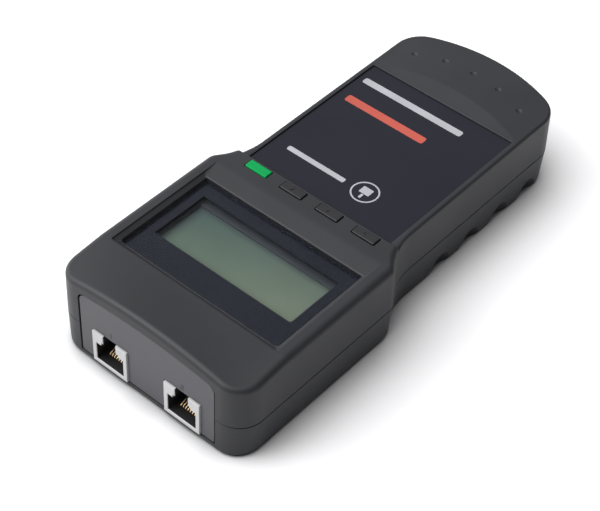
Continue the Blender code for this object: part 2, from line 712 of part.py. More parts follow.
def build_jack(centre_x, side_name):
    x0, x1 = centre_x - JACK_W / 2, centre_x + JACK_W / 2
    y0, y1 = JACK_Y0, JACK_Y0 + JACK_L
    z0, z1 = JACK_Z0, JACK_Z0 + JACK_H
    bevel = 0.25
    housing = loft([[(x0 + c, y, z0 + c), (x1 - c, y, z0 + c), (x1 - c, y, z1 - c),
                     (x0 + c, y, z1 - c)]
                    for y, c in ((y0, bevel), (y0 + bevel, 0.0), (y1, 0.0))])
    jack = make(f"jack_housing_{side_name}", housing, JACK_GREY)
    cavity = [(centre_x + x, z0 + z) for x, z in JACK_CAVITY]
    boolean(jack, f"tool_jack_cavity_{side_name}", prism_y(cavity, y0 - 3, y0 + 13.0))
    # the face stands taller than the body, which passes under the board
    boolean(jack, f"tool_jack_step_{side_name}",
            box(x0 - 1, x1 + 1, y0 + 3.8, y1 + 1, z0 + 13.0, z1 + 1))
    # pocket, open towards +Y, that takes the contact insert
    boolean(jack, f"tool_jack_pocket_{side_name}",
            box(centre_x - 5.2, centre_x + 5.2, y0 + 12.0, y1 + 2, z0 + 1.6, z0 + 9.0))
    insert = box(centre_x - 5.0, centre_x + 5.0, y0 + 13.2, y1 - 0.2, z0 + 1.8, z0 + 8.8)
    contacts = make(f"jack_contacts_{side_name}", insert, GOLD)
    profile = [(y0 + y, z0 + z) for y, z in CONTACT_WIRE]
    wires = []
    for k in range(8):
        x = centre_x + (k - 3.5) * CONTACT_PITCH
        wires.append(prism_x(profile, x - CONTACT_HALF_W, x + CONTACT_HALF_W))
    boolean(contacts, f"tool_contact_wires_{side_name}", merge(*wires), "UNION")


# ---------------------------------------------------------------- window, display and label
def build_lens():
    points = rounded(-LENS_HALF_X, LENS_HALF_X, LENS_Y0, LENS_Y1, [1.85, 1.85, 0.5, 0.5], segs=5)
    make("display_lens", prism_z(points, LENS_TOP - LENS_T, LENS_TOP, 0.15), LENS)


def build_label():
    points = rounded(-LABEL_HALF_X, LABEL_HALF_X, LABEL_Y0, LABEL_Y1, 0.4, segs=2)
    make("handle_label", prism_z(points, LABEL_TOP - LABEL_T, LABEL_TOP, 0.1), NAVY)


def build_lcd():
    plan = (-LCD_HALF_X, LCD_HALF_X, LCD_Y0, LCD_Y1)
    make("lcd_glass", box(*plan, LCD_TOP - 2.8, LCD_TOP), LCD_GREEN)
    make("lcd_backlight", box(*plan, BACKLIGHT_Z0, LCD_TOP - 3.05), WHITE)
    make("lcd_board", box(-32.0, 32.0, -62.4, -31.2, LCD_BOARD_Z0, BACKLIGHT_Z0 - GAP),
         BOARD_GREEN)


def build_lcd_bezel():
    plan = rounded(-32.2, 32.2, -61.2, -32.4, 0.6, segs=2)
    bezel = make("lcd_bezel", prism_z(plan, BACKLIGHT_Z0, LCD_TOP + 0.45), BLACK)
    slack = 0.25
    boolean(bezel, "tool_bezel_cavity",
            box(-LCD_HALF_X - slack, LCD_HALF_X + slack, LCD_Y0 - slack, LCD_Y1 + slack,
                LCD_TOP - 10, LCD_TOP + 0.15))
    boolean(bezel, "tool_bezel_window",
            box(-28.9, 28.9, -57.2, -36.3, LCD_TOP - 10, LCD_TOP + 3))


def build_lcd_header():
    """Pin strip whose pins bend over towards the display board."""
    pin_count, pitch, half_pin = 16, 2.54, 0.32
    header = make("lcd_header", box(-21.2, 21.2, -65.9, -63.4, PART_Z0, PART_Z0 + 2.4), BLACK)
    # (y, z above the strip's foot)
    hook = [(-65.0, 1.5), (-64.3, 1.5), (-64.3, 3.9), (-62.7, 3.9), (-62.7, 4.5), (-65.0, 4.5)]
    hook = [(y, PART_Z0 + z) for y, z in hook]
    pins = []
    for k in range(pin_count):
        x = (k - (pin_count - 1) / 2) * pitch
        pins.append(prism_x(hook, x - half_pin, x + half_pin))
    boolean(header, "tool_header_pins", merge(*pins), "UNION")


def build_lcd_spacers():
    for side, side_name in SIDES:
        make(f"lcd_spacer_{side_name}",
             chamfer_box(*span(side, 25.0, 30.0), -38.0, -33.0,
                         BOARD_TOP + 0.2, LCD_BOARD_Z0 - 0.2, 0.3), WHITE)


# ---------------------------------------------------------------- main board and its parts
def build_main_board():
    plan = rounded(-BOARD_HALF_X, BOARD_HALF_X, BOARD_Y0, BOARD_Y1, 1.0, segs=2)
    board = make("main_board", prism_z(plan, BOARD_Z0, BOARD_TOP), BOARD_GREEN)
    holes = [turned([(1.6, 10.0), (1.6, 20.0)], (x, y, 0), segs=12) for x, y in BOARD_SCREWS]
    boolean(board, "tool_board_holes", merge(*holes))


def gull_leg(edge, sign, height):
    """Profile of a leg that leaves the body at edge; points are (distance outward, z)."""
    z0 = PART_Z0
    z_top, z_mid = z0 + height * 0.62, z0 + height * 0.45
    profile = [(-0.5, z_top), (-0.5, z_mid), (0.35, z_mid), (0.35, z0),
               (1.2, z0), (1.2, z0 + 0.18), (0.6, z0 + 0.18), (0.6, z_top)]
    return [(edge + sign * out, z) for out, z in profile]


def build_chip(name, centre, size, leg_count, four_sided=False):
    """Chip with gull-wing legs along its -Y and +Y edges, or along all four."""
    pitch = 1.27
    half_leg = pitch * 0.3
    (x, y), (width, depth, height) = centre, size
    x0, x1, y0, y1 = x - width / 2, x + width / 2, y - depth / 2, y + depth / 2
    body = chamfer_box(x0, x1, y0, y1, PART_Z0 + 0.25, PART_Z0 + height, 0.2, bottom=True)
    legs = []
    for k in range(leg_count):
        t = (k - (leg_count - 1) / 2) * pitch
        for edge, sign in ((y0, -1), (y1, 1)):
            legs.append(prism_x(gull_leg(edge, sign, height), x + t - half_leg, x + t + half_leg))
        if four_sided:
            for edge, sign in ((x0, -1), (x1, 1)):
                legs.append(prism_y(gull_leg(edge, sign, height),
                                    y + t - half_leg, y + t + half_leg))
    chip = make(name, body, EPOXY)
    boolean(chip, f"tool_{name}_legs", merge(*legs), "UNION")


def build_board_parts():
    z0 = PART_Z0
    build_chip("controller_chip", (0.0, -47.0), (12.0, 12.0, 1.7), 8, four_sided=True)
    for side, side_name in SIDES:
        build_chip(f"port_switch_chip_{side_name}", (side * 19.5, -54.0), (9.9, 4.0, 1.6), 7)
    crystal = rounded(-16.5, -5.5, -31.0, -26.4, 2.2, segs=5)
    make("clock_crystal", prism_z(crystal, z0, z0 + 3.5, 0.35), STEEL, smooth=30)
    capacitor = [(3.0, 0.0), (3.15, 0.5), (3.15, 1.4), (2.9, 1.75), (3.15, 2.1), (3.15, 6.9),
                 (2.7, 7.3)]
    make("filter_capacitor", turned(capacitor, (15.5, -26.6, z0), segs=18), BLACK, smooth=35)
    make("voltage_regulator", chamfer_box(3.0, 7.6, -31.6, -28.4, z0, z0 + 1.6, 0.25), EPOXY)
    make("lead_header", chamfer_box(-3.2, 3.4, -14.6, -9.4, z0, z0 + 4.6, 0.3), WHITE)


# ---------------------------------------------------------------- keys and their switches
# name, material, outline of the engraved mark from the key's centre
KEYS = [
    ("power", GREEN, None),
    ("up", KEY_GREY, [(-1.2, -0.75), (1.2, -0.75), (0.0, 0.75)]),
    ("mode", KEY_GREY, [(-0.8, -0.6), (0.8, -0.6), (0.8, 0.6), (-0.8, 0.6)]),
    ("down", KEY_GREY, [(-1.2, 0.75), (0.0, -0.75), (1.2, 0.75)]),
]


def around_key(x, half_w, half_d):
    return x - half_w, x + half_w, KEY_Y - half_d, KEY_Y + half_d


def build_key(name, x, mat, mark):
    flange_z0 = KEY_FLANGE_Z0
    body = chamfer_box(*around_key(x, KEY_W / 2, KEY_D / 2), flange_z0 + 0.5, KEY_TOP, 0.3)
    key = make(name, body, mat, origin=(x, KEY_Y, KEY_TOP))
    # flange that holds the key under the ceiling, and the stem that meets the switch
    flange = box(*around_key(x, KEY_W / 2 + 0.9, KEY_D / 2 + 0.75),
                 flange_z0, flange_z0 + KEY_FLANGE_T)
    boolean(key, f"tool_{name}_flange", flange, "UNION")
    stem = box(*around_key(x, 1.6, 1.3), PLUNGER_TOP + GAP, flange_z0 + 0.6)
    boolean(key, f"tool_{name}_stem", stem, "UNION")
    if mark:
        points = [(x + dx, KEY_Y + dy) for dx, dy in mark]
        boolean(key, f"tool_{name}_mark", prism_z(points, KEY_TOP - 0.2, KEY_TOP + 1))


def build_switch(name, x):
    body = chamfer_box(*around_key(x, SWITCH_HALF, SWITCH_HALF), PART_Z0, SWITCH_TOP, 0.25)
    switch = make(name + "_body", body, BLACK)
    bore = turned([(2.0, SWITCH_TOP - 1.5), (2.0, SWITCH_TOP + 2)], (x, KEY_Y, 0))
    boolean(switch, f"tool_{name}_bore", bore)
    plunger = [(1.7, SWITCH_TOP - 0.3), (1.7, PLUNGER_TOP - 0.3), (1.4, PLUNGER_TOP)]
    make(name + "_plunger", turned(plunger, (x, KEY_Y, 0)), BLACK,
         origin=(x, KEY_Y, SWITCH_TOP), smooth=35)


# ---------------------------------------------------------------- battery, its snap and leads
def build_battery():
    can = rounded(-BATTERY_HALF, BATTERY_HALF, BATTERY_Z0, BATTERY_Z1, 2.2, segs=3)
    far_y = BATTERY_Y0 + BATTERY_L
    battery = make("battery_9v", prism_y(can, BATTERY_Y0, far_y), CAN, smooth=35)
    left, right = [(side * TERMINAL_X, BATTERY_Y0, BATTERY_MID_Z) for side, _ in SIDES]
    boolean(battery, "tool_battery_terminals", merge(
        turned([(2.9, -2.2), (2.9, 0.5)], left, axis="y"),
        turned([(3.8, -2.2), (3.8, 0.5)], right, axis="y", segs=6)), "UNION")

    plate = rounded(-12.6, 12.6, BATTERY_MID_Z - 6.2, BATTERY_MID_Z + 6.2, 2.0, segs=3)
    snap = make("battery_snap", prism_y(plate, BATTERY_Y0 - 4.8, BATTERY_Y0 - 0.4),
                BLACK, smooth=35)
    boolean(snap, "tool_snap_sockets", merge(
        turned([(3.3, -2.7), (3.3, 2.0)], left, axis="y"),
        turned([(4.3, -2.7), (4.3, 2.0)], right, axis="y")))
    make("battery_foam", box(-12.0, 12.0, far_y + GAP, far_y + 2.6, 5.0, 18.0), FOAM)


# path shared by both leads, from the snap to the header, as (y, z); x differs by lead
LEAD_PATH = [(BATTERY_Y0 - 5.1, BATTERY_MID_Z), (17.0, 12.0), (8.0, 15.5), (0.0, 18.8),
             (-5.0, 19.6), (-9.1, 19.6)]
RED_LEAD_X = [-5.0, -5.0, -4.5, -2.2, -1.2, -1.2]
BLACK_LEAD_X = [5.0, 5.0, 4.5, 2.4, 1.4, 1.4]
LEAD_R = 0.75


def spline(knots, steps=4):
    """Catmull-Rom spline through the knots."""
    p = [np.array(k, float) for k in knots]
    p = [2 * p[0] - p[1]] + p + [2 * p[-1] - p[-2]]
    path = []
    for i in range(1, len(p) - 2):
        before, start, end, after = p[i - 1:i + 3]
        for s in range(steps):
            t = s / steps
            path.append(0.5 * ((2 * start) + (-before + end) * t
                               + (2 * before - 5 * start + 4 * end - after) * t * t
                               + (-before + 3 * start - 3 * end + after) * t ** 3))
    path.append(p[-2])
    return path


def build_lead(name, knots_x, mat):
    path = spline([(x, y, z) for x, (y, z) in zip(knots_x, LEAD_PATH)])
    angles = [2 * math.pi * k / 8 for k in range(8)]
    side = np.array([1.0, 0.0, 0.0])
    rings = []
    for i, centre in enumerate(path):
        along = path[min(i + 1, len(path) - 1)] - path[max(i - 1, 0)]
        along = along / np.linalg.norm(along)
        across = side - along * np.dot(side, along)
        across /= np.linalg.norm(across)
        third = np.cross(along, across)
        rings.append([tuple(centre + LEAD_R * (math.cos(a) * across + math.sin(a) * third))
                      for a in angles])
    make(name, loft(rings), mat, smooth=60)


# ---------------------------------------------------------------- battery door
def build_door():
    """Door that hinges on two tabs at its far end and latches with a tongue at the other."""
    half = BAY_HALF - GAP
    y0, y1 = BAY_Y0 + GAP, BAY_Y1 - GAP
    door = make("battery_door", box(-half, half, y0, y1, DOOR_Z0, DOOR_Z1), CASE_GREY,
                origin=(0.0, y1, DOOR_Z0))
    # (y from the far edge of the bay, z)
    tab = [(-3.0, 1.2), (-0.6, 1.2), (-0.6, 2.55), (1.6, 2.55), (1.6, 3.5), (-3.0, 3.5)]
    tab = [(BAY_Y1 + y, z) for y, z in tab]
    for x, letter in ((-8, "a"), (8, "b")):
        boolean(door, f"tool_door_tab_{letter}", prism_x(tab, x - 2.5, x + 2.5), "UNION")
    # (y from the port-end edge of the bay, z)
    tongue = [(0.55, 1.2), (2.0, 1.2), (2.0, 4.6), (1.0, 4.6), (0.3, 3.6), (0.3, 3.0), (0.55, 2.6)]
    tongue = [(BAY_Y0 + y, z) for y, z in tongue]
    boolean(door, "tool_door_tongue", prism_x(tongue, -4.0, 4.0), "UNION")
    # grooves and an arrowhead sunk into the underside
    groove_y, groove_w, groove_pitch = BAY_Y0 + 4.0, 1.1, 2.4
    grooves = []
    for k in range(4):
        y = groove_y + groove_pitch * k
        grooves.append(box(-9.0, 9.0, y, y + groove_w, -2.0, 0.75))
    arrow = prism_z([(-4.0, BAY_Y0 + 18.5), (0.0, BAY_Y0 + 14.5), (4.0, BAY_Y0 + 18.5)], -2.0, 0.7)
    boolean(door, "tool_door_grips", merge(*grooves, arrow))


# ---------------------------------------------------------------- screws
def build_screw(name, place, head_z, head_r, head_h, shank_r, length):
    """Pan-head screw driven from below: head at the bottom, with a cross recess."""
    x, y = place
    profile = [(head_r * 0.72, 0.0), (head_r, head_h * 0.45), (head_r, head_h),
               (shank_r, head_h), (shank_r, length - 1.0), (shank_r * 0.35, length)]
    screw = make(name, turned(profile, (x, y, head_z), segs=14), STEEL, smooth=35)
    a, b = head_r * 0.56, head_r * 0.13     # reach and half width of the cross's arms
    cross = [(-a, -b), (-b, -b), (-b, -a), (b, -a), (b, -b), (a, -b),
             (a, b), (b, b), (b, a), (-b, a), (-b, b), (-a, b)]
    cross = [(x + dx, y + dy) for dx, dy in cross]
    boolean(screw, f"tool_{name}_cross", prism_z(cross, head_z - 1.0, head_z + head_h * 0.6))


def build_screws():
    for i, place in enumerate(CASE_SCREWS):
        build_screw(f"case_screw_{i + 1}", place, head_z=3.0,
                    head_r=2.7, head_h=1.7, shank_r=1.3, length=16.0)
    head_h = 1.4
    for i, place in enumerate(BOARD_SCREWS):
        build_screw(f"board_screw_{i + 1}", place, head_z=BOARD_Z0 - GAP - head_h,
                    head_r=2.4, head_h=head_h, shank_r=1.0, length=8.0)


# ---------------------------------------------------------------- build
build_front_shell()
build_rear_shell()
build_port_panel()
build_lens()
build_lcd()
build_lcd_bezel()
build_lcd_header()
build_lcd_spacers()
build_label()
build_main_board()
build_board_parts()
for index, (key_name, key_mat, key_mark) in enumerate(KEYS):
    key_x = KEY_X0 + index * KEY_PITCH
    build_key(f"{key_name}_button", key_x, key_mat, key_mark)
    build_switch(f"{key_name}_switch", key_x)
for jack_side, jack_side_name in SIDES:
    build_jack(jack_side * JACK_X, jack_side_name)
build_battery()
build_lead("battery_lead_red", RED_LEAD_X, RED)
build_lead("battery_lead_black", BLACK_LEAD_X, BLACK)
build_door()
build_screws()
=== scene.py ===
"""Handheld network cable tester: detailed skins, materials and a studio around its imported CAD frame.

The tester lies on its back with its centre line on x = 0. The two ports are at the -Y end, the
handle runs towards +Y, and the display and keys face +Z. Lengths are in millimetres in the frame of
the CAD part, and are scaled to metres when a mesh is made.
"""
import math
from collections import namedtuple

import bmesh
import bpy
import numpy as np
from mathutils import Matrix, Vector


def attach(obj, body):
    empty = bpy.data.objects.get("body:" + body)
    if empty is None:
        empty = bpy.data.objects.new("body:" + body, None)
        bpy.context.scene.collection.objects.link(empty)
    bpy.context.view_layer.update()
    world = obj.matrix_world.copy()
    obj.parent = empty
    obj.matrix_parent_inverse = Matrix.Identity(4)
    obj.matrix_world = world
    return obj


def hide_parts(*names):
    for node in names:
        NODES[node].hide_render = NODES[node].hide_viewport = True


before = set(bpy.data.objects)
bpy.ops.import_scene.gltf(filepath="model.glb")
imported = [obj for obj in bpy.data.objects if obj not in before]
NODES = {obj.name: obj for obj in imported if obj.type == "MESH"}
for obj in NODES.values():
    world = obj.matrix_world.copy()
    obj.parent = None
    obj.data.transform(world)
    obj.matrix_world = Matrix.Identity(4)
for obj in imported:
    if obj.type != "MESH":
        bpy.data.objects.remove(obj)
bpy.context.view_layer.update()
MM = 0.001

# ---------------------------------------------------------------- dimensions (mm)
# case outline at the parting line: wide head, shoulders, narrower handle, arched far end
HEAD_HALF, HANDLE_HALF = 41.1, 33.8
PORT_Y, FAR_Y = -92.7, 91.9
FAR_ARC_R, FAR_CORNER_R = 71.0, 12.0
PORT_CORNER_R = 9.6
SHOULDER_Y0, SHOULDER_A = -20.4, math.radians(35.0)
SHOULDER_R0, SHOULDER_R1 = 5.0, 25.0  # outer and inner bend
SHOULDER_Y1 = (SHOULDER_Y0 + (SHOULDER_R0 + SHOULDER_R1) * math.sin(SHOULDER_A)
               + (HEAD_HALF - HANDLE_HALF - (SHOULDER_R0 + SHOULDER_R1) * (1 - math.cos(SHOULDER_A)))
               / math.tan(SHOULDER_A))

# case section
PARTING_Z = 15.0
PARTING_ROUND = 0.22
GAP = 0.3  # clearance between moving or mating parts
SEAT_GAP = 0.15  # clearance round the window and the label
WALL = 2.2
HEAD_Z, RIM_Z = 33.8, 31.8  # top of the head and of the handle
LIP_RISE, LIP_CROWN = 2.5, 0.0029
DRAFT_TOP = math.tan(math.radians(1.2))
DRAFT_BOTTOM = math.tan(math.radians(3.0))
FILLET_PORT, FILLET_HEAD, FILLET_HANDLE = 1.9, 2.6, 1.2
STEP_Y, STEP_R = -10.9, 0.45  # step down from head to handle
CEIL_HEAD, CEIL_WINDOW, CEIL_HANDLE = 31.2, 28.95, 28.6  # inside of the top wall
CEIL_KEYS = CEIL_HEAD - 0.2
RIDGE_SIDE_Y, RIDGE_RISE_Y = 59.9, 6.4  # start of the handle's domed end, and its bow on the axis
DOME_H = 1.2
DOME_HALF_X = HANDLE_HALF - 2.4
RAMP_SLOPE = 0.187

# window, display and label
LENS_HALF_X = 34.0
LENS_Y0, LENS_Y1 = -69.4, -28.1
LENS_TOP, LENS_T = 32.3, 1.5
LENS_BACK = LENS_TOP - LENS_T
POCKET_HALF_X = LENS_HALF_X + SEAT_GAP
RAMP_Y1 = -20.7
VIEW_HALF_X = 29.7
VIEW_Y0, VIEW_Y1 = -57.5, -33.95
LCD_TOP = 28.3
LCD_HALF_X, LCD_Y0, LCD_Y1 = 30.4, -59.2, -34.4
LABEL_HALF_X = 31.1
LABEL_Y0, LABEL_Y1 = -10.5, 58.7
LABEL_TOP, LABEL_T = 31.3, 0.6

# keys, jacks and port panel
BUTTON_X0, BUTTON_PITCH = -23.09, 15.72
BUTTON_W, BUTTON_D = 9.3, 3.7
BUTTON_Y, BUTTON_TOP = -13.75, 34.2
JACK_X = 15.94
JACK_W, JACK_H, JACK_L = 15.4, 13.9, 20.6
JACK_Z0, JACK_Y0 = 2.55, -93.2
PANEL_HALF_X, PANEL_Z0, PANEL_TOP, PANEL_CROWN = 29.5, 2.65, 31.1, 0.0024

# board top, screw places (x, y), battery bay and grip scoops
BOARD_TOP = 15.75 + 1.6
CASE_SCREWS = [(-34.2, -79.2), (34.2, -79.2), (-24.8, 76.4), (24.8, 76.4)]
BOARD_SCREWS = [(-26.4, -66.2), (26.4, -66.2), (-26.4, -23.9), (26.4, -23.9)]
BAY_HALF, BAY_Y0, BAY_Y1 = 15.2, 18.0, 80.0
GRIP_Y = [19.3, 36.6, 53.9, 71.2]

# ---------------------------------------------------------------- shader graphs


class Graph:
    """Shader tree builder. An input may be given a number, an RGB colour or another node's output."""

    def __init__(self, tree):
        self.tree = tree

    def feed(self, node, inputs):
        for key, value in inputs.items():
            socket = node.inputs[key]
            if isinstance(value, bpy.types.NodeSocket):
                self.tree.links.new(value, socket)
            else:
                socket.default_value = (*value, 1.0) if socket.type == "RGBA" else value

    def node(self, kind, inputs=None, **settings):
        node = self.tree.nodes.new("ShaderNode" + kind)
        for name, value in settings.items():
            setattr(node, name, value)
        self.feed(node, inputs or {})
        return node

    def position(self):
        """Object coordinates in millimetres."""
        source = self.node("TexCoord").outputs["Object"]
        return self.node("Mapping", {"Scale": (1000.0,) * 3, "Vector": source}).outputs["Vector"]

    def noise(self, vector, scale, detail=4.0, rough=0.5):
        inputs = {"Scale": scale, "Detail": detail, "Roughness": rough, "Vector": vector}
        return self.node("TexNoise", inputs).outputs["Fac"]

    def ramp(self, value, low, high, start=0.3, end=0.7):
        """Colour that runs from low at start to high at end."""
        node = self.node("ValToRGB", {"Fac": value})
        stops = ((start, low), (end, high))
        for element, (position, colour) in zip(node.color_ramp.elements, stops):
            element.position = position
            element.color = (*colour, 1.0)
        return node.outputs["Color"]

    def maths(self, operation, *operands, clamp=False):
        inputs = dict(enumerate(operands))
        return self.node("Math", inputs, operation=operation, use_clamp=clamp).outputs[0]

    def mapped(self, value, start, end, low=0.0, high=1.0, smooth=False):
        """Takes start..end to low..high."""
        inputs = {"From Min": start, "From Max": end, "To Min": low, "To Max": high, "Value": value}
        kind = "SMOOTHSTEP" if smooth else "LINEAR"
        return self.node("MapRange", inputs, interpolation_type=kind).outputs["Result"]

    def spread(self, value, low, high):
        """Takes the middle of a noise's range to low..high."""
        return self.mapped(value, 0.3, 0.7, low, high)

    def mixed(self, factor, first, second, blend="MIX"):
        mix = self.node("Mix", {"Factor": factor}, data_type="RGBA", blend_type=blend)
        colours = [i for i, socket in enumerate(mix.inputs) if socket.type == "RGBA"]
        self.feed(mix, dict(zip(colours, (first, second))))
        return next(socket for socket in mix.outputs if socket.type == "RGBA")

    def bump(self, height, distance, normal=None):
        inputs = {"Distance": distance * MM, "Strength": 1.0, "Height": height}
        if normal is not None:
            inputs["Normal"] = normal
        return self.node("Bump", inputs).outputs["Normal"]

    def grained(self, height, distance, edge_radius):
        """Bump on top of slightly rounded edges."""
        bevel = self.node("Bevel", {"Radius": edge_radius * MM}, samples=4)
        return self.bump(height, distance, bevel.outputs["Normal"])

    def toned(self, value, base, vary):
        """Base colour made darker and lighter by the fraction vary."""
        return self.ramp(value, tuple(c * (1 - vary) for c in base),
                         tuple(min(1, c * (1 + vary)) for c in base))


def new_material(name):
    material = bpy.data.materials.new(name)
    material.use_nodes = True
    graph = Graph(material.node_tree)
    return material, graph, graph.tree.nodes["Principled BSDF"]


# ---------------------------------------------------------------- materials


def moulded(name, base, rough, grain=0.006, grain_scale=2.2, vary=0.10, specular=0.5):
    """Moulded plastic: fine grain (depth in mm), slight variation of tone and gloss."""
    material, graph, bsdf = new_material(name)
    place = graph.position()
    broad = graph.noise(place, scale=0.035, detail=3.0)
    fine = graph.noise(place, grain_scale, detail=3.0, rough=0.6)
    speck = graph.noise(place, grain_scale * 2.7, detail=2.0)
    tone = graph.toned(broad, base, vary)
    speckle = graph.ramp(speck, low=(0.93,) * 3, high=(1.07,) * 3, start=0.25, end=0.75)
    graph.feed(bsdf, {
        "Base Color": graph.mixed(1.0, tone, speckle, blend="MULTIPLY"),
        "Roughness": graph.spread(broad, low=rough - 0.03, high=rough + 0.04),
        "Specular IOR Level": specular,
        "Normal": graph.grained(graph.maths("MULTIPLY_ADD", speck, 0.4, fine), grain, edge_radius=0.10),
    })
    return material


def satin(name, base, rough, metal=0.0, grain=0.004, scale=3.0, coat=0.0, specular=0.5):
    """Smooth plastic, metal or print with a faint grain (depth in mm)."""
    material, graph, bsdf = new_material(name)
    place = graph.position()
    fine = graph.noise(place, scale)
    broad = graph.noise(place, scale=0.12, detail=2.0)
    graph.feed(bsdf, {
        "Base Color": graph.toned(broad, base, vary=0.06),
        "Roughness": graph.spread(fine, low=rough - 0.04, high=rough + 0.04),
        "Metallic": metal,
        "Coat Weight": coat,
        "Specular IOR Level": specular,
        "Normal": graph.grained(fine, grain, edge_radius=0.06),
    })
    return material


CASE_LOOK = dict(base=(0.0140, 0.0145, 0.0171), rough=0.46, grain=0.010, specular=0.25)
CASE = moulded("scene_case_plastic", **CASE_LOOK)
CASE_LOW = moulded("scene_case_rear_plastic", **CASE_LOOK)
PANEL = moulded("scene_panel_plastic", (0.0335, 0.0328, 0.0385), rough=0.50)
KEY = moulded("scene_key_plastic", (0.0108, 0.0109, 0.0128), rough=0.42, specular=0.25)
KEY_GREEN = moulded("scene_key_green", (0.0, 0.190, 0.046), rough=0.40, vary=0.04, specular=0.10)
JACK = moulded("scene_jack_plastic", (0.31, 0.31, 0.312), rough=0.42, grain=0.004, vary=0.03)
BLACK = moulded("scene_black_plastic", (0.010, 0.010, 0.011), rough=0.42)
# near-black: painted shade on the panel's gap and groove edges and inside the jacks' plug cavities, and
# the colour of the jack inserts
BLACK_AND_PAINTED_SHADE = moulded("scene_painted_shade_black", (0.004, 0.004, 0.004), rough=0.5, grain=0.004)
WHITE = moulded("scene_white_plastic", (0.72, 0.72, 0.70), rough=0.45, grain=0.004, vary=0.03)
EPOXY = moulded("scene_chip_epoxy", (0.018, 0.018, 0.019), rough=0.6, grain=0.01)
GOLD = satin("scene_contact_gold", (0.52, 0.37, 0.21), rough=0.30, metal=1.0)
STEEL = satin("scene_zinc_steel", (0.62, 0.61, 0.60), rough=0.34, metal=1.0, grain=0.006, scale=1.2)
RED_PVC = satin("scene_lead_red", (0.50, 0.015, 0.012), rough=0.40)
FOAM = moulded("scene_foam", (0.09, 0.09, 0.10), rough=0.95, grain=0.35, grain_scale=1.1,
               vary=0.25, specular=0.1)
CAN = satin("scene_battery_wrap", (0.05, 0.055, 0.07), rough=0.30, metal=0.4, coat=0.4)


def board_material():
    """Green solder mask with faint raised traces under it."""
    material, graph, bsdf = new_material("scene_board")
    place = graph.position()
    cells = graph.node("TexVoronoi", {"Scale": 0.22, "Vector": place},
                       feature="DISTANCE_TO_EDGE", distance="MANHATTAN")
    trace = graph.mapped(cells.outputs["Distance"], start=0.03, end=0.06, low=1.0, high=0.0)
    graph.feed(bsdf, {
        "Base Color": graph.mixed(trace, (0.010, 0.085, 0.035), (0.020, 0.150, 0.060)),
        "Roughness": graph.spread(graph.noise(place, scale=0.8), low=0.26, high=0.36),
        "Normal": graph.bump(trace, distance=0.03),
    })
    return material


def label_material():
    """Printed navy film: satin, with a faint orange peel."""
    material, graph, bsdf = new_material("scene_label_film")
    place = graph.position()
    broad = graph.noise(place, scale=0.03, detail=2.0)
    fine = graph.noise(place, scale=1.6)
    graph.feed(bsdf, {
        "Base Color": graph.ramp(broad, (0.0058, 0.0058, 0.0108), (0.0072, 0.0072, 0.0128)),
        "Roughness": graph.spread(fine, low=0.30, high=0.37),
        "Specular IOR Level": 0.18,
        "Normal": graph.bump(fine, distance=0.004),
    })
    return material


BOARD = board_material()
LABEL = label_material()
PRINT_RED = satin("scene_print_red", (0.30, 0.045, 0.028), rough=0.40, grain=0.002)
PRINT_GREY = satin("scene_print_grey", (0.25, 0.25, 0.27), rough=0.40, grain=0.002)
PRINT_NAVY = satin("scene_window_print", (0.0070, 0.0071, 0.0135), rough=0.22, grain=0.001,
                   specular=0.30)


def window_material():
    """Clear acrylic: faint smoke tint, and a weak reflection on its outer side only."""
    material, graph, bsdf = new_material("scene_window_acrylic")
    graph.tree.nodes.remove(bsdf)
    place = graph.position()
    tint = graph.ramp(graph.noise(place, scale=0.05, detail=1.0),
                      low=(0.86, 0.88, 0.89), high=(0.88, 0.90, 0.91))
    clear = graph.node("BsdfTransparent", {"Color": tint})
    polish = graph.spread(graph.noise(place, scale=1.2, detail=3.0), low=0.22, high=0.28)
    gloss = graph.node("BsdfGlossy", {"Roughness": polish})
    fresnel = graph.node("Fresnel", {"IOR": 1.49})
    geometry = graph.node("NewGeometry")
    outside = graph.maths("SUBTRACT", 1.0, geometry.outputs["Backfacing"])
    weak = graph.maths("MULTIPLY", fresnel.outputs[0], 0.15)
    mix = graph.node("MixShader", {0: graph.maths("MULTIPLY", weak, outside),
                                   1: clear.outputs[0], 2: gloss.outputs[0]})
    graph.feed(graph.tree.nodes["Material Output"], {"Surface": mix.outputs[0]})
    return material


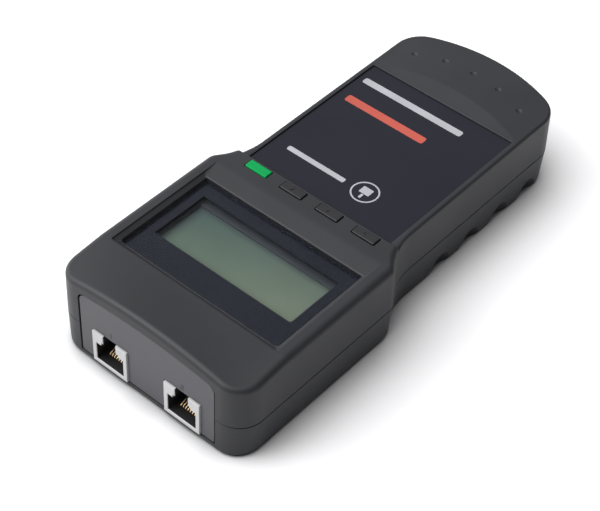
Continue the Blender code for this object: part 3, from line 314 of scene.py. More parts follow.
def lcd_material():
    """Grey-green display in a dark surround, with painted shadow of the window walls soft on its -X and
    +Y edges, painted shade darkening it towards -X and the handle, and faint cells.
    """
    material, graph, bsdf = new_material("scene_lcd")
    maths, mapped, mixed = graph.maths, graph.mapped, graph.mixed
    place = graph.position()
    axes = graph.node("SeparateXYZ", {0: place})
    x, y = axes.outputs["X"], axes.outputs["Y"]
    # active area: product of four edges; the soft -X edge (left) and +Y edge are painted shadow of the
    # window walls, the other two are the display's own sharp edges
    left = mapped(x, start=-30.2, end=-23.6, smooth=True)
    right = mapped(x, start=28.15, end=27.95)
    port_edge = mapped(y, start=-56.25, end=-56.05)
    handle_edge_shadow = mapped(y, start=-34.6, end=-39.4, smooth=True)
    active_with_edge_shadow = maths("MULTIPLY", maths("MULTIPLY", left, right),
                   maths("MULTIPLY", port_edge, handle_edge_shadow))
    # tone across and along the display: painted shade, darker towards -X and towards the handle,
    # slightly clouded
    along = mapped(y, start=-56.0, end=-36.2)
    across = mapped(x, start=-28.0, end=28.0)
    near_ports = mixed(across, (0.0860, 0.1200, 0.0820), (0.1390, 0.1580, 0.1060))
    near_handle_shaded = mixed(across, (0.0430, 0.0700, 0.0620), (0.0870, 0.1100, 0.0800))
    cloud = graph.noise(place, scale=0.06, detail=2.0)
    clouded = maths("MULTIPLY_ADD", maths("SUBTRACT", cloud, 0.5), 0.25, along, clamp=True)
    green = mixed(clouded, near_ports, near_handle_shaded)

    def cell_side(coordinate, origin, pitch, line):
        """1 inside a cell and 0 on the line between cells; line is a fraction of the pitch."""
        steps = maths("DIVIDE", maths("ADD", coordinate, origin), pitch)
        return maths("GREATER_THAN", maths("FRACT", steps), line)

    cell = maths("MULTIPLY", cell_side(y, origin=56.0, pitch=9.9, line=0.12),
                 cell_side(x, origin=28.0, pitch=3.5, line=0.14))
    green = mixed(maths("MULTIPLY", cell, 0.025), green, (0.05, 0.09, 0.06))
    graph.feed(bsdf, {
        "Base Color": mixed(active_with_edge_shadow, (0.026, 0.028, 0.032), green),
        "Roughness": graph.spread(cloud, low=0.30, high=0.36),
        "Normal": graph.bump(graph.noise(place, scale=3.0, detail=2.0), distance=0.002),
    })
    return material


WINDOW = window_material()
# painted shade: a dark opaque satin put on the clear lens's front and side edges
LENS_EDGE_SHADE = satin("scene_lens_edge_painted_shade", (0.006, 0.006, 0.009), rough=0.50, grain=0.002)
LCD = lcd_material()

# ---------------------------------------------------------------- objects from shapes
# a shape is a pair (vertices, faces)


def make(name, shape, materials, smooth=30):
    mesh = bpy.data.meshes.new(name)
    mesh.from_pydata([(x * MM, y * MM, z * MM) for x, y, z in shape[0]], [], shape[1])
    bm = bmesh.new()
    bm.from_mesh(mesh)
    bmesh.ops.remove_doubles(bm, verts=bm.verts, dist=1e-7)
    bmesh.ops.recalc_face_normals(bm, faces=bm.faces)
    bm.to_mesh(mesh)
    bm.free()
    ob = bpy.data.objects.new(name, mesh)
    bpy.context.scene.collection.objects.link(ob)
    for material in materials if isinstance(materials, list) else [materials]:
        mesh.materials.append(material)
    if smooth is not None:
        shade(ob, smooth)
    return ob


def shade(ob, angle):
    """Smooth below the angle; large faces rule the normals, so flats stay flat by roundings."""
    ob.data.shade_smooth()
    ob.data.set_sharp_from_angle(angle=math.radians(angle))
    even = ob.modifiers.new("even_normals", "WEIGHTED_NORMAL")
    even.mode = "FACE_AREA"
    even.weight = 60
    even.keep_sharp = True


def add(shape):
    return "UNION", shape


def cut(*shapes):
    return "DIFFERENCE", merge(*shapes)


def carve(ob, steps, smooth=30):
    """Applies exact Booleans in order; each step comes from add or cut."""
    ob.modifiers.clear()
    tools = []
    for i, (operation, shape) in enumerate(steps):
        tool = make(f"tool_{ob.name}_{i}", shape, [], smooth=None)
        tools.append(tool)
        boolean = ob.modifiers.new(f"cut_{i}", "BOOLEAN")
        boolean.operation = operation
        boolean.solver = "EXACT"
        boolean.object = tool
    depsgraph = bpy.context.evaluated_depsgraph_get()
    mesh = bpy.data.meshes.new_from_object(ob.evaluated_get(depsgraph),
                                           preserve_all_data_layers=False, depsgraph=depsgraph)
    old = ob.data
    ob.modifiers.clear()
    materials = list(old.materials)
    ob.data = mesh
    mesh.name = ob.name
    mesh.materials.clear()
    for material in materials:
        mesh.materials.append(material)
    if len(materials) == 1:
        for face in mesh.polygons:
            face.material_index = 0
    for tool in tools:
        tool_mesh = tool.data
        bpy.data.objects.remove(tool, do_unlink=True)
        bpy.data.meshes.remove(tool_mesh)
    bpy.data.meshes.remove(old)
    bm = bmesh.new()
    bm.from_mesh(mesh)
    bmesh.ops.remove_doubles(bm, verts=bm.verts, dist=2e-7)
    bmesh.ops.dissolve_degenerate(bm, edges=bm.edges, dist=2e-7)
    bm.to_mesh(mesh)
    bm.free()
    shade(ob, smooth)


def place(ob, slot, *replaced, body="case"):
    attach(ob, body)
    if replaced:
        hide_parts(*replaced)


# ---------------------------------------------------------------- shapes


def merge(*parts):
    verts, faces = [], []
    for part_verts, part_faces in parts:
        base = len(verts)
        verts += list(part_verts)
        faces += [[i + base for i in face] for face in part_faces]
    return verts, faces


def loft(rings, closed_ends=True):
    n = len(rings[0])
    verts = [point for ring in rings for point in ring]
    faces = []
    for k in range(len(rings) - 1):
        a, b = k * n, (k + 1) * n
        for i in range(n):
            j = (i + 1) % n
            faces.append([a + i, a + j, b + j, b + i])
    if closed_ends:
        faces.append(list(range(n)))
        faces.append(list(range((len(rings) - 1) * n, len(rings) * n)))
    return verts, faces


def at_z(points, z):
    return [(x, y, z) for x, y in points]


def at_y(points, y):
    return [(x, y, z) for x, z in points]


def prism(points, z0, z1):
    return loft([at_z(points, z0), at_z(points, z1)])


def prism_x(points, x0, x1):
    """Prism along x of an outline in y and z."""
    return loft([[(x, y, z) for y, z in points] for x in (x0, x1)])


def box(x0, x1, y0, y1, z0, z1):
    return prism([(x0, y0), (x1, y0), (x1, y1), (x0, y1)], z0, z1)


def rounded(x0, x1, y0, y1, radius, segs=6):
    """Rectangle with round corners; radius is one number, or four from (x0, y0) anticlockwise."""
    radii = [radius] * 4 if isinstance(radius, (int, float)) else radius
    corners = [(x0, y0, 1, 1), (x1, y0, -1, 1), (x1, y1, -1, -1), (x0, y1, 1, -1)]
    points = []
    for (x, y, in_x, in_y), start, r in zip(corners, (180, 270, 0, 90), radii):
        for k in range(segs + 1):
            a = math.radians(start + 90.0 * k / segs)
            points.append((x + in_x * r + r * math.cos(a), y + in_y * r + r * math.sin(a)))
    return points


def inset_outline(points, distance):
    """Outline moved inwards along its mitred normals (outwards if distance is negative)."""
    moved = []
    for i, (x, y) in enumerate(points):
        (last_x, last_y), (next_x, next_y) = points[i - 1], points[(i + 1) % len(points)]
        in_x, in_y = x - last_x, y - last_y
        out_x, out_y = next_x - x, next_y - y
        in_length = math.hypot(in_x, in_y) or 1.0
        out_length = math.hypot(out_x, out_y) or 1.0
        mitre_x = -in_y / in_length + -out_y / out_length
        mitre_y = in_x / in_length + out_x / out_length
        k = 2.0 / max(0.5, mitre_x * mitre_x + mitre_y * mitre_y)
        moved.append((x + mitre_x * k * distance, y + mitre_y * k * distance))
    return moved


def quarter(radius, n=3):
    """(inset, rise) pairs of a quarter round that turns from a wall to a top face."""
    angles = [math.radians(90.0 * k / n) for k in range(n + 1)]
    return [(radius * (1 - math.cos(a)), radius * math.sin(a)) for a in angles]


def cushion(points, z0, z1, radius, n=3, bottom=0.0):
    """Prism with its top edge, and on request its bottom edge, rounded."""
    if bottom:
        rings = [at_z(inset_outline(points, inset), z0 + bottom - rise)
                 for inset, rise in reversed(quarter(bottom, n))]
    else:
        rings = [at_z(points, z0)]
    for inset, rise in quarter(radius, n):
        rings.append(at_z(inset_outline(points, inset), z1 - radius + rise))
    return loft(rings)


OVERSHOOT = 0.003  # how far a rolled cutter passes the face it meets


def flare(outline_at, z0, surface, radius, top=45.0):
    """Cutter whose walls roll outwards where they meet a surface; outline_at takes the growth."""
    rings = [at_z(outline_at(0.0), z0)]
    for inset, rise in quarter(radius):
        past = OVERSHOOT if rise == radius else 0.0
        rings.append(at_z(outline_at(inset), surface - radius + rise + past))
    rings.append(at_z(outline_at(radius + 0.01), top))
    return loft(rings)


def flare_below(outline_at, radius, z_top):
    """Cutter from below whose walls roll outwards at z = 0."""
    rings = [at_z(outline_at(radius + 0.01), -5.0)]
    for inset, rise in reversed(quarter(radius)):
        past = OVERSHOOT if rise == radius else 0
        rings.append(at_z(outline_at(inset), radius - rise - past))
    rings.append(at_z(outline_at(0.0), z_top))
    return loft(rings)


def turned(profile, x, y, z=0, segs=24):
    """Solid of revolution about a vertical axis from (radius, height) pairs."""
    angles = [2 * math.pi * (k + 0.5) / segs for k in range(segs)]
    return loft([[(x + r * math.cos(a), y + r * math.sin(a), z + height) for a in angles]
                 for r, height in profile])


def ball(centre, radii, segs, rows):
    """Ellipsoid between latitudes of 87 degrees."""
    rings = []
    for k in range(rows + 1):
        t = math.radians(-87 + 174.0 * k / rows)
        rings.append([(centre[0] + radii[0] * math.cos(t) * math.cos(2 * math.pi * i / segs),
                       centre[1] + radii[1] * math.cos(t) * math.sin(2 * math.pi * i / segs),
                       centre[2] + radii[2] * math.sin(t)) for i in range(segs)])
    return loft(rings)


# ---------------------------------------------------------------- case outline


def smooth01(t):
    t = min(1.0, max(0.0, t))
    return t * t * (3 - 2 * t)


def half_width(y):
    """Half width at the parting line: head, tight outer bend, slope, wide inner bend, handle."""
    past, left = y - SHOULDER_Y0, SHOULDER_Y1 - y
    if past <= 0:
        return HEAD_HALF
    if left <= 0:
        return HANDLE_HALF
    if past < SHOULDER_R0 * math.sin(SHOULDER_A):
        return HEAD_HALF - SHOULDER_R0 + math.sqrt(SHOULDER_R0 ** 2 - past * past)
    if left < SHOULDER_R1 * math.sin(SHOULDER_A):
        return HANDLE_HALF + SHOULDER_R1 - math.sqrt(SHOULDER_R1 ** 2 - left * left)
    return (HEAD_HALF - SHOULDER_R0 * (1 - math.cos(SHOULDER_A))
            - (past - SHOULDER_R0 * math.sin(SHOULDER_A)) * math.tan(SHOULDER_A))


COLS = 44
FRACTIONS = [-1 + 2.0 * j / COLS for j in range(COLS + 1)]
PORT_HALF = HEAD_HALF - PORT_CORNER_R
# far end: centre of the arch, centre of the +X corner, and where the two arcs meet
ARCH_Y = FAR_Y - FAR_ARC_R
CORNER_X = HANDLE_HALF - FAR_CORNER_R
CORNER_Y = ARCH_Y + math.sqrt((FAR_ARC_R - FAR_CORNER_R) ** 2 - CORNER_X ** 2)
CORNER_ANGLE = math.atan2(CORNER_Y - ARCH_Y, CORNER_X)
TANGENT_X = CORNER_X + FAR_CORNER_R * math.cos(CORNER_ANGLE)
TANGENT_Y = CORNER_Y + FAR_CORNER_R * math.sin(CORNER_ANGLE)


def side_rows():
    """Stations up the +X side as (x, y, outward x, outward y)."""
    rows = []
    port_centre_y = PORT_Y + PORT_CORNER_R

    def corner_row(x, y, radius, a):
        rows.append((x + radius * math.cos(a), y + radius * math.sin(a), math.cos(a), math.sin(a)))

    for k in range(1, 20):
        corner_row(PORT_HALF, port_centre_y, PORT_CORNER_R, -math.pi / 2 + math.pi / 2 * k / 20)
    ys = [port_centre_y, -80.0, -78.0, -76.0, -74.4, -72.8, -72.2, -71.4, -70.9, -70.4, -66.0,
          -60.0, -52.0, -44.0, -36.0, -30.0, -27.4, -26.8]
    ys += list(np.linspace(SHOULDER_Y0, SHOULDER_Y0 + 2.87, 8))
    ys += list(np.linspace(SHOULDER_Y0 + 3.7, -12.2, 7))
    ys += [-11.6, STEP_Y - STEP_R]
    ys += [STEP_Y - STEP_R * (1 - math.sin(math.radians(a))) for a in (22.5, 45.0, 67.5)]
    ys += [STEP_Y, STEP_Y + 0.2]
    ys += list(np.linspace(STEP_Y + 1.0, SHOULDER_Y1, 12))
    ys += [4.0, 8.0, 15.0, 22.0, 30.0, 38.0, 45.0, 52.0, LABEL_Y1 + SEAT_GAP,
           RIDGE_SIDE_Y - 0.45, RIDGE_SIDE_Y, RIDGE_SIDE_Y + 0.5]
    ys += list(np.linspace(61.5, CORNER_Y - 0.6, 12))
    for y in ys:
        slope = (half_width(y + 0.01) - half_width(y - 0.01)) / 0.02
        rows.append((half_width(y), y, math.sqrt(1 + slope * slope), 0.0))
    for k in range(12):
        corner_row(CORNER_X, CORNER_Y, FAR_CORNER_R, CORNER_ANGLE * k / 12)
    return rows


SIDE = side_rows()
ROWS = len(SIDE)
# share is how much of the draft a point takes: none on the flat port face
EdgePoint = namedtuple("EdgePoint", "x y out_x out_y share")


def case_outline():
    """Anticlockwise: port face, +X side, arched far end, -X side."""
    points = [(f * PORT_HALF, PORT_Y, 0.0, -1.0) for f in FRACTIONS] + SIDE
    for f in reversed(FRACTIONS):
        x = f * TANGENT_X
        a = math.acos(x / FAR_ARC_R)
        points.append((x, ARCH_Y + FAR_ARC_R * math.sin(a), math.cos(a), math.sin(a)))
    points += [(-x, y, -out_x, out_y) for x, y, out_x, out_y in reversed(SIDE)]
    return [EdgePoint(*point, 1 - max(0.0, -point[3]) ** 2) for point in points]


EDGE = case_outline()


def edge_loop(inset_and_z):
    """Loop round the case; the function gives an inset and a height for each EdgePoint."""
    loop = []
    for point in EDGE:
        inset, z = inset_and_z(point)
        loop.append((point.x - point.out_x * inset, point.y - point.out_y * inset, z))
    return loop


def level_loop(z, inset=0, draft=0):
    return edge_loop(lambda point: (draft * point.share + inset, z))


# ---------------------------------------------------------------- case surfaces


def bow(y):
    """How far a row across the case bends towards +Y on the axis."""
    if y < LABEL_Y1 + 0.2:
        return 0.0
    if y < RIDGE_SIDE_Y:
        start = LABEL_Y1 + SEAT_GAP
        return RIDGE_RISE_Y * ((y - LABEL_Y1 - SEAT_GAP) / (RIDGE_SIDE_Y - start))
    t = (y - RIDGE_SIDE_Y) / (TANGENT_Y - RIDGE_SIDE_Y)
    return RIDGE_RISE_Y + (FAR_Y - TANGENT_Y - RIDGE_RISE_Y) * t


def add_cap(verts, faces, base, height):
    """Closes the loop that starts at vertex base with a grid; height takes x, y, row y."""
    across = COLS + 1
    left_end = base + 2 * across + ROWS + ROWS
    grid_base = len(verts)
    for k, (_, row_y, _, _) in enumerate(SIDE):
        right_x, right_y, _ = verts[base + across + k]
        left_x = verts[left_end - 1 - k][0]
        for f in FRACTIONS[1:-1]:
            x = left_x + (right_x - left_x) * (f + 1) / 2
            y = right_y + bow(row_y) * (1 - f * f)
            verts.append((x, y, height(x, y, row_y)))

    def index(row, col):
        if row == 0:
            return base + col
        if row == ROWS + 1:
            return base + across + ROWS + (across - 1 - col)
        if col == 0:
            return left_end - row
        if col == across - 1:
            return base + across + row - 1
        return grid_base + (row - 1) * (across - 2) + (col - 1)

    faces += [[index(r, c), index(r, c + 1), index(r + 1, c + 1), index(r + 1, c)]
              for r in range(ROWS + 1) for c in range(COLS)]


def ceiling(y):
    """Height of the inside of the top wall."""
    if y < -72.5:
        return CEIL_HEAD
    if y < -27.0:
        return CEIL_WINDOW
    if y < STEP_Y + 0.1:
        return CEIL_KEYS
    return CEIL_HANDLE


def top_z(x, y):
    """Height of the case's top surface."""
    lip_y = LENS_Y0 - 1.5
    if y < lip_y:
        t = min(1.0, (lip_y - y) / (lip_y - PORT_Y - FILLET_PORT))
        return HEAD_Z + t ** 1.2 * (LIP_RISE - LIP_CROWN * x * x)
    if y < STEP_Y - STEP_R:
        return HEAD_Z
    if y < STEP_Y + 1e-6:
        t = (y - STEP_Y + STEP_R) / STEP_R
        return HEAD_Z - STEP_R * (1 - math.sqrt(max(0.0, 1 - t * t)))
    if y < LABEL_Y1 + 0.16 or abs(x) >= DOME_HALF_X:
        return RIM_Z
    slope = RIM_Z - 0.22 + (y - LABEL_Y1) * RAMP_SLOPE
    fall = 1 - 0.55 * smooth01((y - 68.0) / 26.0)
    dome = RIM_Z + DOME_H * max(0.0, 1 - (x / DOME_HALF_X) ** 2) * fall
    return min(slope, dome)


def fillet_r(y):
    """Radius of the top edge's round, blended from port face to head to handle."""
    head = FILLET_PORT + (FILLET_HEAD - FILLET_PORT) * smooth01((y - PORT_Y) / PORT_CORNER_R)
    return head + (FILLET_HANDLE - head) * smooth01((y + 16.0) / 10.0)


def draft_up(z):
    return (z - PARTING_Z) * DRAFT_TOP


def draft_down(z):
    return (PARTING_Z - z) * DRAFT_BOTTOM


def top_round(point):
    """Radius of the top edge's round, wall inset below it, and height where it ends."""
    radius = fillet_r(point.y)
    base = draft_up(top_z(point.x, point.y) - radius) * point.share
    end_z = top_z(point.x - point.out_x * (base + radius), point.y - point.out_y * (base + radius))
    return radius, base, end_z


def fillet_loop(degrees, more=0.0):
    """Loop on the case's top edge at an angle of its round; more moves it inwards on the top."""
    cos_a, sin_a = math.cos(math.radians(degrees)), math.sin(math.radians(degrees))

    def inset_and_z(point):
        radius, base, end_z = top_round(point)
        inset = base + radius * (1 - cos_a) + more
        if more:
            return inset, top_z(point.x - point.out_x * inset, point.y - point.out_y * inset)
        return inset, end_z - radius * (1 - sin_a)
    return edge_loop(inset_and_z)


def front_shell_shape():
    z0 = PARTING_Z + GAP / 2
    wall_z = z0 + PARTING_ROUND + 0.6
    lap_z = PARTING_Z + 1.5

    def below_round(point):
        radius, _, end_z = top_round(point)
        z = end_z - radius - 0.7
        return draft_up(z) * point.share, z

    def inner(more_inset, drop):
        return edge_loop(lambda point: (draft_up(ceiling(point.y) - 1.5) * point.share
                                        + (WALL + more_inset), ceiling(point.y) - drop))

    loops = [inner(1.5, 0.0), inner(0.0, 1.5), level_loop(lap_z, WALL, draft_up(lap_z)),
             level_loop(lap_z, 1.05), level_loop(z0, 1.05)]
    for inset, rise in reversed(quarter(PARTING_ROUND)):
        loops.append(level_loop(z0 + PARTING_ROUND - rise, inset))
    loops += [level_loop(wall_z, draft=draft_up(wall_z)), edge_loop(below_round)]
    loops += [fillet_loop(9.0 * k) for k in range(11)]
    loops.append(fillet_loop(90.0, more=0.5))
    verts, faces = loft(loops, closed_ends=False)
    add_cap(verts, faces, (len(loops) - 1) * len(EDGE), lambda x, y, row_y: top_z(x, y))
    add_cap(verts, faces, 0, lambda x, y, row_y: ceiling(row_y))
    return verts, faces


def foot_r(share):
    return 2.2 + 0.6 * share


def foot_loop(a, more=0.0):
    """Loop on the round between underside and wall."""
    def inset_and_z(point):
        radius = foot_r(point.share)
        inset = draft_down(radius) * point.share + radius * (1 - math.sin(a)) + more
        return inset, radius * (1 - math.cos(a))
    return edge_loop(inset_and_z)


def rear_shell_shape():
    def above_foot(point):
        z = foot_r(point.share) + 0.7
        return draft_down(z) * point.share, z

    z1 = PARTING_Z - GAP / 2
    wall_z = z1 - PARTING_ROUND - 0.6
    loops = [foot_loop(0.0, more=0.8)]
    loops += [foot_loop(math.radians(90.0 * k / 8)) for k in range(9)]
    loops += [edge_loop(above_foot), level_loop(wall_z, draft=draft_down(wall_z))]
    for inset, rise in quarter(PARTING_ROUND):
        loops.append(level_loop(z1 - PARTING_ROUND + rise, inset))
    # lip that stands inside the front shell, then the inner wall (height, extra inset)
    loops += [level_loop(z1, 1.25), level_loop(PARTING_Z + 1.2, 1.25),
              level_loop(PARTING_Z + 1.2, WALL)]
    for z, extra in ((9.5, 0.6), (4.6, 3.4), (2.2, 5.6)):
        loops.append(level_loop(z, WALL, extra))
    return loft(loops)


# ---------------------------------------------------------------- openings in the front shell
# wall round the window: (reach outside the lens pocket, height)
WALL_PROFILE = [(0.0, LENS_TOP), (1.50, LENS_TOP + 0.90), (1.58, LENS_TOP + 0.97),
                (1.63, LENS_TOP + 1.08), (1.66, LENS_TOP + 1.30), (1.74, LENS_TOP + 1.42),
                (1.90, LENS_TOP + 1.485), (2.05, HEAD_Z + 0.004), (2.07, 45.0)]


def wall_reach(z):
    """Reach of the wall round the window at height z."""
    for (reach0, z0), (reach1, z1) in zip(WALL_PROFILE, WALL_PROFILE[1:]):
        if z <= z1:
            return reach0 + (reach1 - reach0) * max(0.0, z - z0) / (z1 - z0)
    return WALL_PROFILE[-1][0]


def window_recess():
    """Sloped walls on three sides of the lens under a small step; the +Y wall is square."""
    rings = []
    for reach, z in WALL_PROFILE:
        corner = 0.4 + 0.2 * reach
        rings.append(at_z(rounded(-POCKET_HALF_X - reach, POCKET_HALF_X + reach,
                                  LENS_Y0 - SEAT_GAP - reach, LENS_Y1 + SEAT_GAP,
                                  [corner, corner, 0.35, 0.35], segs=10), z))
    return loft(rings)


def ramp_cut():
    """Slope on the window's +Y side: rolled lower edge, soft end on the head's flat."""
    z0 = LENS_TOP + 0.4
    slope = (HEAD_Z - z0) / (RAMP_Y1 - LENS_Y1)
    soft_y = RAMP_Y1 - 1.1
    soft_z = z0 + slope * (soft_y - LENS_Y1)
    run, rise = 2.4, HEAD_Z - soft_z
    # (y, floor height)
    stations = [(LENS_Y1 - 6.0, z0 - 0.32), (LENS_Y1 + SEAT_GAP, z0 - 0.32),
                (LENS_Y1 + 0.19, z0 - 0.17), (LENS_Y1 + 0.30, z0 - 0.05),
                (LENS_Y1 + 0.50, z0 + 0.03), (LENS_Y1 + 0.80, z0 + slope * 0.80),
                (soft_y, soft_z)]
    for t in (0.25, 0.5, 0.75, 1.0):
        stations.append((soft_y + run * t, soft_z + slope * run * t + (rise - slope * run) * t * t
                         + (0.004 if t == 1.0 else 0)))
    stations.append((soft_y + run + 4.0, HEAD_Z + 1.0))
    rings = []
    for y, floor_z in stations:
        least = wall_reach(floor_z)
        profile = [(POCKET_HALF_X + least, floor_z)]
        # tiny offsets keep the points apart
        for k, (reach, z) in enumerate(WALL_PROFILE[1:], start=1):
            profile.append((POCKET_HALF_X + max(reach, least) + 0.001 * k,
                            max(z, floor_z) + 0.001 * k))
        rings.append(at_y([(-x, z) for x, z in reversed(profile)] + profile, y))
    return loft(rings)


def view_outline(grow):
    reach = 0.6
    return rounded(-VIEW_HALF_X - reach - grow, VIEW_HALF_X + reach + grow,
                   VIEW_Y0 - reach - grow, VIEW_Y1 + reach + grow, reach + grow, segs=4)


def label_recess(grow):
    return rounded(-LABEL_HALF_X - SEAT_GAP - grow, LABEL_HALF_X + SEAT_GAP + grow, STEP_Y - 0.05,
                   LABEL_Y1 + SEAT_GAP + grow, [0.05, 0.05, 0.5 + grow, 0.5 + grow], segs=4)


def key_hole(x):
    def hole(grow):
        half_x, half_y = BUTTON_W / 2, BUTTON_D / 2
        return rounded(x - half_x - GAP - grow, x + half_x + GAP + grow,
                       BUTTON_Y - half_y - GAP - grow, BUTTON_Y + half_y + GAP + grow,
                       0.45 + grow, segs=4)
    return flare(hole, 24.0, HEAD_Z, 0.14)


def panel_outline(grow, z_low):
    """Port panel in x and z: small lower corners, larger upper ones, crowned top."""
    half = PANEL_HALF_X + grow
    top_r, low_r = 3.0, 0.9
    top_steps, corner_steps = 36, 8

    def arch(x):
        return PANEL_TOP + grow - PANEL_CROWN * x * x

    top_centre_z = arch(half - top_r) - top_r
    right = []
    for k in range(corner_steps + 1):
        a = math.radians(-90 + 90.0 * k / corner_steps)
        right.append((half - low_r + low_r * math.cos(a), z_low + low_r + low_r * math.sin(a)))
    for k in range(corner_steps + 1):
        a = math.radians(90.0 * k / corner_steps)
        right.append((half - top_r + top_r * math.cos(a), top_centre_z + top_r * math.sin(a)))
    top_xs = [(half - top_r) * (1 - 2.0 * k / top_steps) for k in range(1, top_steps)]
    return right + [(x, arch(x)) for x in top_xs] + [(-x, z) for x, z in reversed(right)]


def port_flare(y_in):
    """Cutter for the port opening, rolled over by a hair at the port face."""
    low, roll = PANEL_Z0 - 0.35, 0.18
    rings = [at_y(panel_outline(GAP + 0.19, low - 0.19), PORT_Y - 5.0)]
    for inset, rise in reversed(quarter(roll)):
        past = OVERSHOOT if rise == roll else 0
        rings.append(at_y(panel_outline(GAP + inset, low - inset), PORT_Y + roll - rise - past))
    rings.append(at_y(panel_outline(GAP, low), y_in))
    return loft(rings)


# ---------------------------------------------------------------- front shell
POST_FOOT = BOARD_TOP + GAP
BUTTON_XS = [BUTTON_X0 + i * BUTTON_PITCH for i in range(4)]
DIMPLES = [(-1.0, 79.0), (-12.9, 77.8), (11.1, 77.8), (-24.0, 73.5), (23.4, 73.7)]

front = make("front_shell_skin", front_shell_shape(), CASE)
posts = [turned([(2.9, POST_FOOT), (2.9, ceiling(y) + 0.7)], x, y) for x, y in BOARD_SCREWS]
posts += [turned([(3.1, PARTING_Z - 1.0), (3.1, ceiling(y) + 0.7)], x, y) for x, y in CASE_SCREWS]
pilots = [turned([(1.35, 10.0), (1.35, POST_FOOT + 6.5)], x, y, segs=20) for x, y in BOARD_SCREWS]
pilots += [turned([(1.65, 8.0), (1.65, PARTING_Z + 9.5)], x, y, segs=20) for x, y in CASE_SCREWS]
lens_pocket = rounded(-POCKET_HALF_X, POCKET_HALF_X, LENS_Y0 - SEAT_GAP, LENS_Y1 + SEAT_GAP,
                      [2.0, 2.0, 0.35, 0.35], segs=10)
carve(front, [
    add(merge(*posts)),
    cut(*pilots),
    cut(window_recess()),
    cut(ramp_cut()),
    cut(prism(lens_pocket, LENS_BACK - 0.2, LENS_TOP + 0.35)),
    cut(flare(view_outline, 20.0, LENS_BACK - 0.2, 0.2, top=31.8)),
    cut(flare(label_recess, LABEL_TOP - LABEL_T - 0.3, RIM_Z, 0.16)),
    cut(*[key_hole(x) for x in BUTTON_XS]),
    cut(port_flare(PORT_Y + 3.0)),
    cut(*[ball((x, y, top_z(x, y) + 1.75), (2.15,) * 3, segs=40, rows=24) for x, y in DIMPLES]),
], smooth=32)
place(front, "case_plastic", "front_shell")

# ---------------------------------------------------------------- rear shell
RIB_Z0, RIB_Z1 = 1.2, 13.6
RIB_Y0, RIB_Y1 = BAY_Y0 - 1.9, BAY_Y0 - 0.3
BORE_R, BORE_ROLL = 3.2, 0.25


def bay_outline(grow):
    return rounded(-BAY_HALF - grow, BAY_HALF + grow, BAY_Y0 - grow, BAY_Y1 + grow,
                   0.6 + grow, segs=4)


rear = make("rear_shell_skin", rear_shell_shape(), CASE_LOW)
post = [(4.2, 0.8), (4.2, 9.5), (3.1, 9.5), (3.1, PARTING_Z - 1.0 - GAP)]
steps = [add(turned(post, x, y, segs=32)) for x, y in CASE_SCREWS]
for side in (-1, 1):  # ribs along the battery bay
    rib_x0, rib_x1 = sorted((side * (BAY_HALF + 0.3), side * (BAY_HALF + 1.9)))
    steps.append(add(box(rib_x0, rib_x1, RIB_Y0, BAY_Y1 - 4.0, RIB_Z0, RIB_Z1)))
for rib_x0, rib_x1 in ((-BAY_HALF - 1.0, -7.0), (7.0, BAY_HALF + 1.0)):  # ribs across its -Y end
    steps.append(add(box(rib_x0, rib_x1, RIB_Y0, RIB_Y1, RIB_Z0, RIB_Z1)))
steps.append(cut(port_flare(PORT_Y + 8.4)))
steps.append(cut(flare_below(bay_outline, 0.2, 2.6)))
bore = [(BORE_R + 0.26, -3.0), (BORE_R + BORE_ROLL, -OVERSHOOT)]
bore += [(BORE_R + inset, BORE_ROLL - rise)
         for inset, rise in reversed(quarter(BORE_ROLL)) if rise < BORE_ROLL]
bore += [(BORE_R, 5.0), (1.75, 5.0), (1.75, 20.0)]
steps.append(cut(*[turned(bore, x, y, segs=40) for x, y in CASE_SCREWS]))
steps.append(cut(*[ball((side * 39.2, y, 0.6), (8.2, 7.4, 9.0), segs=64, rows=40)
                   for y in GRIP_Y for side in (-1, 1)]))
carve(rear, steps, smooth=32)
place(rear, "case_plastic", "rear_shell")

# ---------------------------------------------------------------- port panel
PANEL_Y = PORT_Y + 0.25
PANEL_ROUND, PANEL_INSET = 0.15, 0.12
FLANGE_HALF = PANEL_HALF_X + 1.2
SLOT_GAP = 0.22


def digit(strokes, x):
    """Numeral of straight bars on the seven-segment plan, sunk into the panel above a jack."""
    width, height, bar_t = 1.5, 2.3, 0.34
    x0, x1 = x - width / 2, x + width / 2
    z0 = JACK_Z0 + JACK_H + 1.3
    z1 = z0 + height
    mid0, mid1 = z0 + height / 2 - bar_t / 2, z0 + height / 2 + bar_t / 2
    bars = {"a": (x0, x1, z1 - bar_t, z1), "g": (x0, x1, mid0, mid1), "d": (x0, x1, z0, z0 + bar_t),
            "b": (x1 - bar_t, x1, mid0, z1), "e": (x0, x0 + bar_t, z0, mid1),
            "c": (x1 - bar_t, x1, z0, mid1)}
    return [cut(box(*bars[stroke][:2], PANEL_Y - 1.0, PANEL_Y + 0.12, *bars[stroke][2:]))
            for stroke in strokes]


rings = [at_y(panel_outline(-inset - PANEL_INSET, PANEL_Z0 + inset + PANEL_INSET),
              PANEL_Y + PANEL_ROUND - rise) for inset, rise in reversed(quarter(PANEL_ROUND))]
rings.append(at_y(panel_outline(-PANEL_INSET, PANEL_Z0 + PANEL_INSET), PORT_Y + WALL + 0.6))
panel = make("port_panel_skin", loft(rings), PANEL)
flange = rounded(-FLANGE_HALF, FLANGE_HALF, PANEL_Z0 + 3.2, CEIL_HEAD - 2.0, 1.0, segs=3)
slots = [box(x - JACK_W / 2 - SLOT_GAP, x + JACK_W / 2 + SLOT_GAP, PORT_Y - 2, PORT_Y + 6,
             -2.0, JACK_Z0 + JACK_H + SLOT_GAP) for x in (-JACK_X, JACK_X)]
carve(panel, [
    add(loft([at_y(flange, PORT_Y + WALL + 0.3), at_y(flange, PORT_Y + WALL + 1.7)])),
    cut(*slots),
    *digit("bc", -JACK_X),
    *digit("abged", JACK_X),
], smooth=32)
panel.data.materials.append(BLACK_AND_PAINTED_SHADE)  # painted shade: edges down in the gaps and grooves get the near-black material
for face in panel.data.polygons:
    if abs(face.normal.y) < 0.35:
        face.material_index = 1
place(panel, "panel_plastic", "port_panel")

